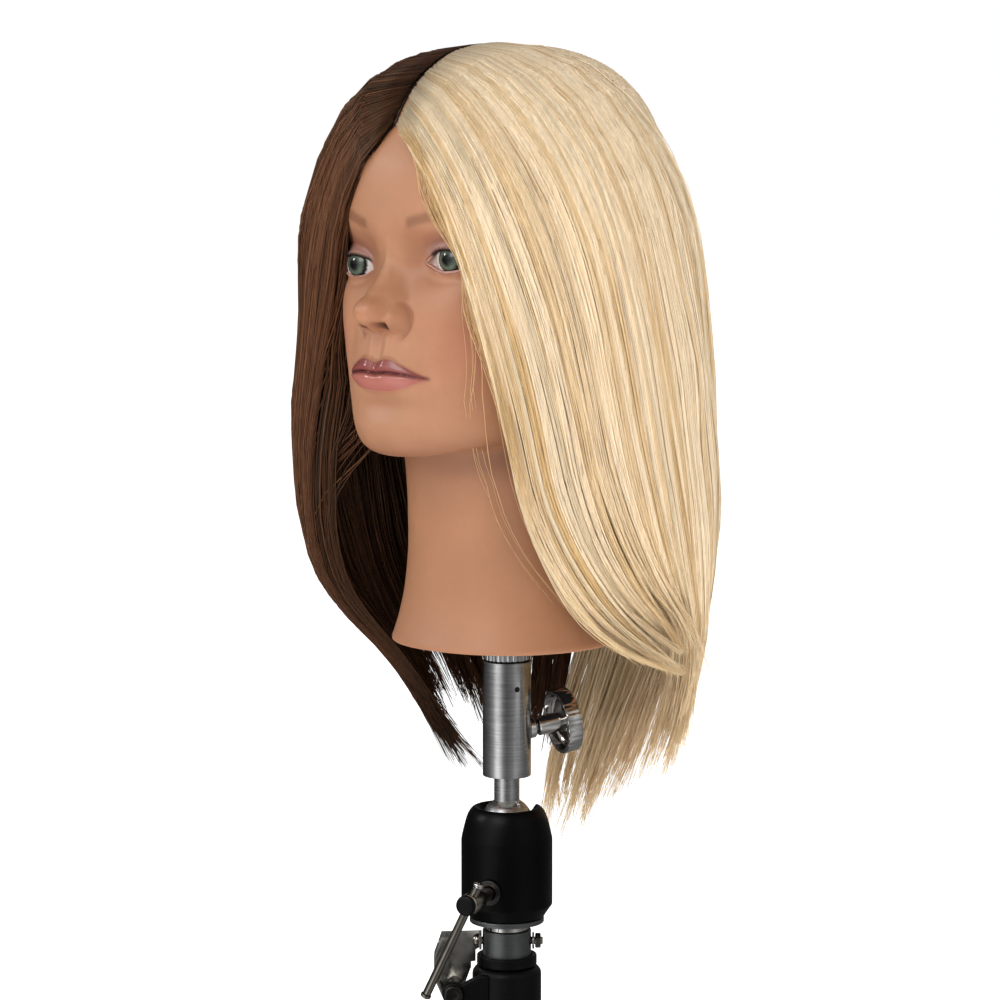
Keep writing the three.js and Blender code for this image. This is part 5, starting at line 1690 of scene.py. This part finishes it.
def under_sheet(name, table, colour):
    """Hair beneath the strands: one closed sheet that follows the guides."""
    rows, columns = 90, 60
    places = np.linspace(0.006, 1.0, rows)
    lengths = np.linspace(0, 0.84, columns)
    place, length = np.meshgrid(places, lengths, indexing="ij")
    points = sample(table, place, length)
    # each line of the sheet stops where it meets a ragged lower edge
    floor_z = 256 + 8 * np.sin(places * 37) + 6 * np.sin(places * 83 + 1.3)
    crossing = np.argmax(points[..., 2] < floor_z[:, None], axis=1)
    crossing = np.where(crossing == 0, columns - 1, crossing)
    stop = lengths[np.maximum(crossing, 8)]
    length = stop[:, None] * np.linspace(0, 1, columns)[None, :]
    points = sample(table, place, length)
    _, gap, outward = above_skin(points)
    depth = np.minimum((0.80 - 0.30 * ease(0.16, 0.42, length)) * gap, 6.0)
    front_edge = np.clip(place / 0.05, 0, 1)
    depth = np.minimum(depth + (1 - front_edge) * 2.0, 0.86 * gap)
    outside = points - outward * depth[..., None]
    inside = outside - outward * np.minimum(2.2, 0.6 * (gap - depth))[..., None]
    verts = np.concatenate([outside.reshape(-1, 3), inside.reshape(-1, 3)])
    verts[:, 2] = np.maximum(verts[:, 2], 238.5)

    count = rows * columns
    grid = np.arange(count).reshape(rows, columns)
    a, b, c, d = grid[:-1, :-1], grid[1:, :-1], grid[1:, 1:], grid[:-1, 1:]
    faces = [np.stack([a, b, c, d], -1).reshape(-1, 4),
             np.stack([a, d, c, b], -1).reshape(-1, 4) + count]
    for line in (grid[0, :], grid[-1, :], grid[:, 0], grid[:, -1]):
        faces.append(np.stack([line[:-1], line[1:], line[1:] + count, line[:-1] + count], 1))
    obj = mesh_object(name, verts, [np.concatenate(faces)])
    fix_normals(obj)
    variation = np.random.default_rng(5).standard_normal(rows)
    tone = np.tile(1 + 0.16 * np.repeat(variation, columns), 2)
    color_attribute(obj.data, "tint", np.clip(np.array(colour) * tone[:, None], 0.002, 1))
    return obj


def wisps(table, count=46, seed=11, reach=17.0, points=26, radius=0.17):
    """Loose single hairs that leave the front edge on the +X side and fall over the face."""
    rng = np.random.default_rng(seed)
    t = np.linspace(0, 1, points)
    shapes = []
    for k in range(count):
        is_long = k % 9 == 0
        place = 0.03 * rng.random()
        start = 0.02 + 0.05 * rng.random()
        end = 0.74 + 0.12 * rng.random() if is_long else 0.50 + 0.25 * rng.random()
        length = start + (end - start) * t
        guide = sample(table, np.full_like(length, place), length)
        guide_y, z = guide[:, 1], guide[:, 2]
        amount = reach * (0.10 + 0.90 * rng.random() ** 1.2)
        inward = amount * bell(length - 0.20 - 0.08 * rng.random(), 0.12)
        if is_long:
            inward = inward + (16 + 22 * rng.random()) * bell(length - 0.66, 0.16)
        inward = inward * ease(0.0, 0.12, length - start)
        inward = inward * (1 - 0.85 * bell(z - 437, 13))      # keeps clear of the eye
        x = np.maximum(guide[:, 0] - inward, 7.0 * ease(0.1, 0.3, length))
        over_skin = -skin_height(x, z) - 1.2 - 2.2 * rng.random() - 1.5 * np.sin(t * np.pi)
        y = np.where(z > 346, np.minimum(guide_y + 0.25 * inward, over_skin),
                     guide_y + 0.4 * inward)
        y = np.convolve(np.pad(y, 2, "edge"), np.ones(5) / 5, "valid")
        widths = radius * (0.8 + 0.4 * rng.random()) * (1 - 0.7 * np.clip((t - 0.6) / 0.4, 0, 1))
        shapes.append((np.stack([x, y, z], 1), widths))
    colour = np.array(srgb(226, 192, 140))
    return [(path, widths, np.tile(colour * (0.85 + 0.3 * rng.random()), (points, 1)))
            for path, widths in shapes]


def hair_material(name, rough, specular, tint, noise_low=0.90, noise_high=1.08):
    surface = Surface(name)
    colour = surface.attribute("tint")
    fibre = surface.noise(surface.object_coords((260, 260, 14)), scale=3.0, detail=3.0)
    return surface.shade({
        "Base Color": surface.multiply(colour, surface.spread(fibre, noise_low, noise_high)),
        "Roughness": surface.spread(fibre, rough - 0.06, rough + 0.08),
        "Normal": surface.bump(fibre, strength=0.25),
        "Specular IOR Level": specular,
        "Specular Tint": (*tint, 1)})


def add_hair(obj, material):
    obj.data.materials.append(material)
    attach(obj, "head")


def build_hair(side, guides, seed, width, material, under_rgb, tints, with_wisps=False):
    count = 6200
    slot = f"hair_{side}"
    table = guide_table(guides)
    hair = make_strands(table, count, seed, width)
    colours = tint_strands(hair, **tints)
    upper, lower = cut_strands(zip(hair["points"], hair["widths"], colours))
    for suffix, strands in (("", upper), ("_ends", lower)):
        triangles = sum((len(strand[0]) - 1) * 6 + 2 for strand in strands)
        parts = max(1, int(math.ceil(triangles / MAX_TRIANGLES)))
        for j, chosen in enumerate(np.array_split(np.arange(len(strands)), parts)):
            obj = strand_mesh(f"hair_{side}{suffix}_{j + 1}", [strands[i] for i in chosen])
            add_hair(obj, material)
            if suffix:
                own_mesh(obj)
            if j == 0:
                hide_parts(slot + suffix)
    if with_wisps:
        obj = strand_mesh(f"hair_{side}_wisps", wisps(table))
        add_hair(obj, material)
    sheet = under_sheet(f"hair_{side}_under", table, srgb(*under_rgb))
    add_hair(sheet, material)


BLONDE_TINTS = dict(
    palette=[(244, 224, 194), (237, 213, 180), (226, 200, 160), (214, 182, 136),
             (208, 190, 162)],
    weights=[0.30, 0.30, 0.20, 0.10, 0.10],
    clump_share=0.55, variation=0.06, root_dark=0.16, tip_light=0.04, depth_shade=0.10,
    streak_rgb=(212, 174, 116), streak_start=0.30, streak_end=0.80, streak_share=0.16,
    tip_tone=(0.98, 0.93, 0.82))
BROWN_TINTS = dict(
    palette=[(88, 54, 34), (70, 42, 25), (106, 68, 44), (50, 29, 17)],
    weights=[0.3, 0.3, 0.2, 0.2],
    clump_share=0.5, variation=0.12, root_dark=0.60, tip_light=0.0, depth_shade=0.50,
    streak_rgb=(92, 56, 34), streak_start=0.12, streak_end=0.50, streak_share=0.12,
    tip_tone=(0.62, 0.55, 0.5))
BLONDE_FIBRE = hair_material("hair_blonde_fibre", rough=0.42, specular=0.35,
                             tint=(1.0, 0.92, 0.78))
BROWN_FIBRE = hair_material("hair_brown_fibre", rough=0.36, specular=0.40,
                            tint=(1.0, 0.80, 0.62), noise_low=0.75, noise_high=1.25)
build_hair("blonde", BLONDE, seed=71, width=0.42, material=BLONDE_FIBRE,
           under_rgb=(226, 200, 158), tints=BLONDE_TINTS, with_wisps=True)
# the brown sheet is darker than its strands: painted shade inside the hair
build_hair("brown", BROWN, seed=72, width=0.47, material=BROWN_FIBRE,
           under_rgb=(24, 13, 8), tints=BROWN_TINTS)


# ------------------------------------------------------------------ floor, camera, light (m)
FLOOR_HALF, FLOOR_CELLS, FLOOR_Z = 8.0, 12, -0.0012
CAMERA_TURN, CAMERA_RISE = math.radians(42), math.radians(6.8)
CAMERA_DISTANCE = 1.9
UP = Vector((0, 0, 1))
TO_RIGHT = Vector((math.cos(CAMERA_TURN), math.sin(CAMERA_TURN), 0))     # in the camera's view
TO_CAMERA = Vector((math.sin(CAMERA_TURN) * math.cos(CAMERA_RISE),
                    -math.cos(CAMERA_TURN) * math.cos(CAMERA_RISE), math.sin(CAMERA_RISE)))
FORWARD = Vector((TO_CAMERA.x, TO_CAMERA.y, 0)).normalized()      # level, towards the camera


def floor_material():
    surface = Surface("pale_floor")
    clouds = surface.noise(surface.object_coords(), scale=3.0)
    return surface.shade({
        "Base Color": surface.spread(clouds, 0.86, 0.90),
        "Roughness": 0.6, "Specular IOR Level": 0.1,
        "Emission Color": (1, 1, 1, 1), "Emission Strength": 0.78})


def build_floor():
    mesh = bpy.data.meshes.new("pale_floor_plane")
    bm = bmesh.new()
    ticks = [FLOOR_HALF * (2 * i / FLOOR_CELLS - 1) for i in range(FLOOR_CELLS + 1)]
    grid = [[bm.verts.new((x, y, FLOOR_Z)) for y in ticks] for x in ticks]
    for i in range(FLOOR_CELLS):
        for j in range(FLOOR_CELLS):
            bm.faces.new([grid[i][j], grid[i + 1][j], grid[i + 1][j + 1], grid[i][j + 1]])
    bm.normal_update()
    bm.to_mesh(mesh)
    bm.free()
    for polygon in mesh.polygons:
        polygon.use_smooth = True
    floor = add_object("pale_floor_plane", mesh)
    floor.rotation_euler = (0, 0, TURN)
    mesh.materials.append(floor_material())
    floor.visible_glossy = False


def build_camera():
    data = bpy.data.cameras.new("camera")
    data.lens = 131.5
    data.sensor_width = 36
    data.clip_start = 0.05
    data.clip_end = 50
    camera = add_object("camera", data)
    target = Vector((0, 0, 0.310)) - TO_RIGHT * 0.0036
    camera.location = target + TO_CAMERA * CAMERA_DISTANCE
    camera.rotation_euler = (-TO_CAMERA).to_track_quat("-Z", "Y").to_euler()
    scene.camera = camera


def area_light(name, location, target, size, power, color=(1, 1, 1)):
    data = bpy.data.lights.new(name, "AREA")
    data.shape = "RECTANGLE"
    data.size = size
    data.size_y = size
    data.energy = power
    data.color = color
    light = add_object(name, data)
    light.location = location
    aim = Vector(target) - Vector(location)
    light.rotation_euler = aim.to_track_quat("-Z", "Y").to_euler()
    return light


def build_lights():
    area_light("key", FORWARD * 1.20 - TO_RIGHT * 0.62 + UP * 1.25, (0, 0, 0.37),
               size=0.8, power=10.5, color=(1.0, 0.985, 0.965))
    fills = [
        area_light("fill_left", FORWARD * 0.7 - TO_RIGHT * 1.4 + UP * 0.6, (0, 0, 0.34),
                   size=1.1, power=3.2, color=(0.97, 0.985, 1.0)),
        area_light("fill_right", FORWARD * 0.6 + TO_RIGHT * 1.4 + UP * 0.75, (0, 0, 0.3),
                   size=1.1, power=5.0, color=(1, 0.99, 0.97)),
        area_light("back", -FORWARD * 1.2 + TO_RIGHT * 0.2 + UP * 1.5, (0, 0, 0.4),
                   size=1.3, power=6.5),
        area_light("low", FORWARD * 1.3 + TO_RIGHT * 0.3 + UP * 0.10, (0, 0, 0.22),
                   size=0.9, power=2.6, color=(1, 0.985, 0.96)),
    ]
    for light in fills:
        light.visible_glossy = False
    # a small hard lamp without diffuse light, for glints on eyes and lips
    glint = area_light("catch", (-1.08, -1.045, 1.02), (0, -0.08, 0.43), size=0.24, power=6.0)
    glint.visible_diffuse = False


# Brightness round the room in reflections: degrees from the camera, positive to its right
ROOM_AROUND = [(-180, .10), (-150, .03), (-120, .07), (-92, .14), (-68, .38), (-50, 1.15),
               (-38, .95), (-20, .26), (-4, .11), (14, .16), (28, .22), (44, .40), (60, .26),
               (90, .13), (120, .12), (150, .13), (180, .10)]
# Brightness by height in reflections: 0 straight down, 1 straight up
ROOM_RISE = [(0, 0.9), (0.30, 1.1), (0.46, 0.55), (0.50, 0.9), (0.62, 1.15), (0.80, 1.6),
             (1.0, 0.9)]


def build_world():
    """Plain white light, a darker room for reflections, and white behind everything."""
    world = bpy.data.worlds.new("studio")
    scene.world = world
    world.use_nodes = True
    nodes = Nodes(world.node_tree)
    diffuse = world.node_tree.nodes["Background"]
    nodes.feed(diffuse, {0: (1.0, 1.0, 1.0, 1), 1: 0.44})
    ray = nodes.add("TexCoord", {}).outputs["Generated"]
    right, forward, rise = [nodes.vector_math("DOT_PRODUCT", ray, tuple(axis), output="Value")
                            for axis in (TO_RIGHT, FORWARD, UP)]
    angle = nodes.math("ARCTAN2", right, forward)
    turn = nodes.math("ADD", nodes.math("MULTIPLY", angle, 1 / (2 * math.pi)), 0.5)
    around = nodes.ramp(turn, [((degrees + 180) / 360, value) for degrees, value in ROOM_AROUND])
    height = nodes.math("ADD", nodes.math("MULTIPLY", rise, 0.5), 0.5)
    room = nodes.multiply(around, nodes.ramp(height, ROOM_RISE))
    reflected = nodes.add("Background", {0: room, 1: 1.35})
    path = nodes.add("LightPath", {})
    lit = nodes.add("MixShader", {0: path.outputs["Is Glossy Ray"], 1: diffuse.outputs[0],
                                  2: reflected.outputs[0]})
    backdrop = nodes.add("Background", {0: (1, 1, 1, 1), 1: 1.02})
    seen = nodes.add("MixShader", {0: path.outputs["Is Camera Ray"], 1: lit.outputs[0],
                                   2: backdrop.outputs[0]})
    nodes.feed(world.node_tree.nodes["World Output"], {0: seen.outputs[0]})


scene.view_settings.view_transform = "Standard"
build_floor()
build_camera()
build_lights()
build_world()
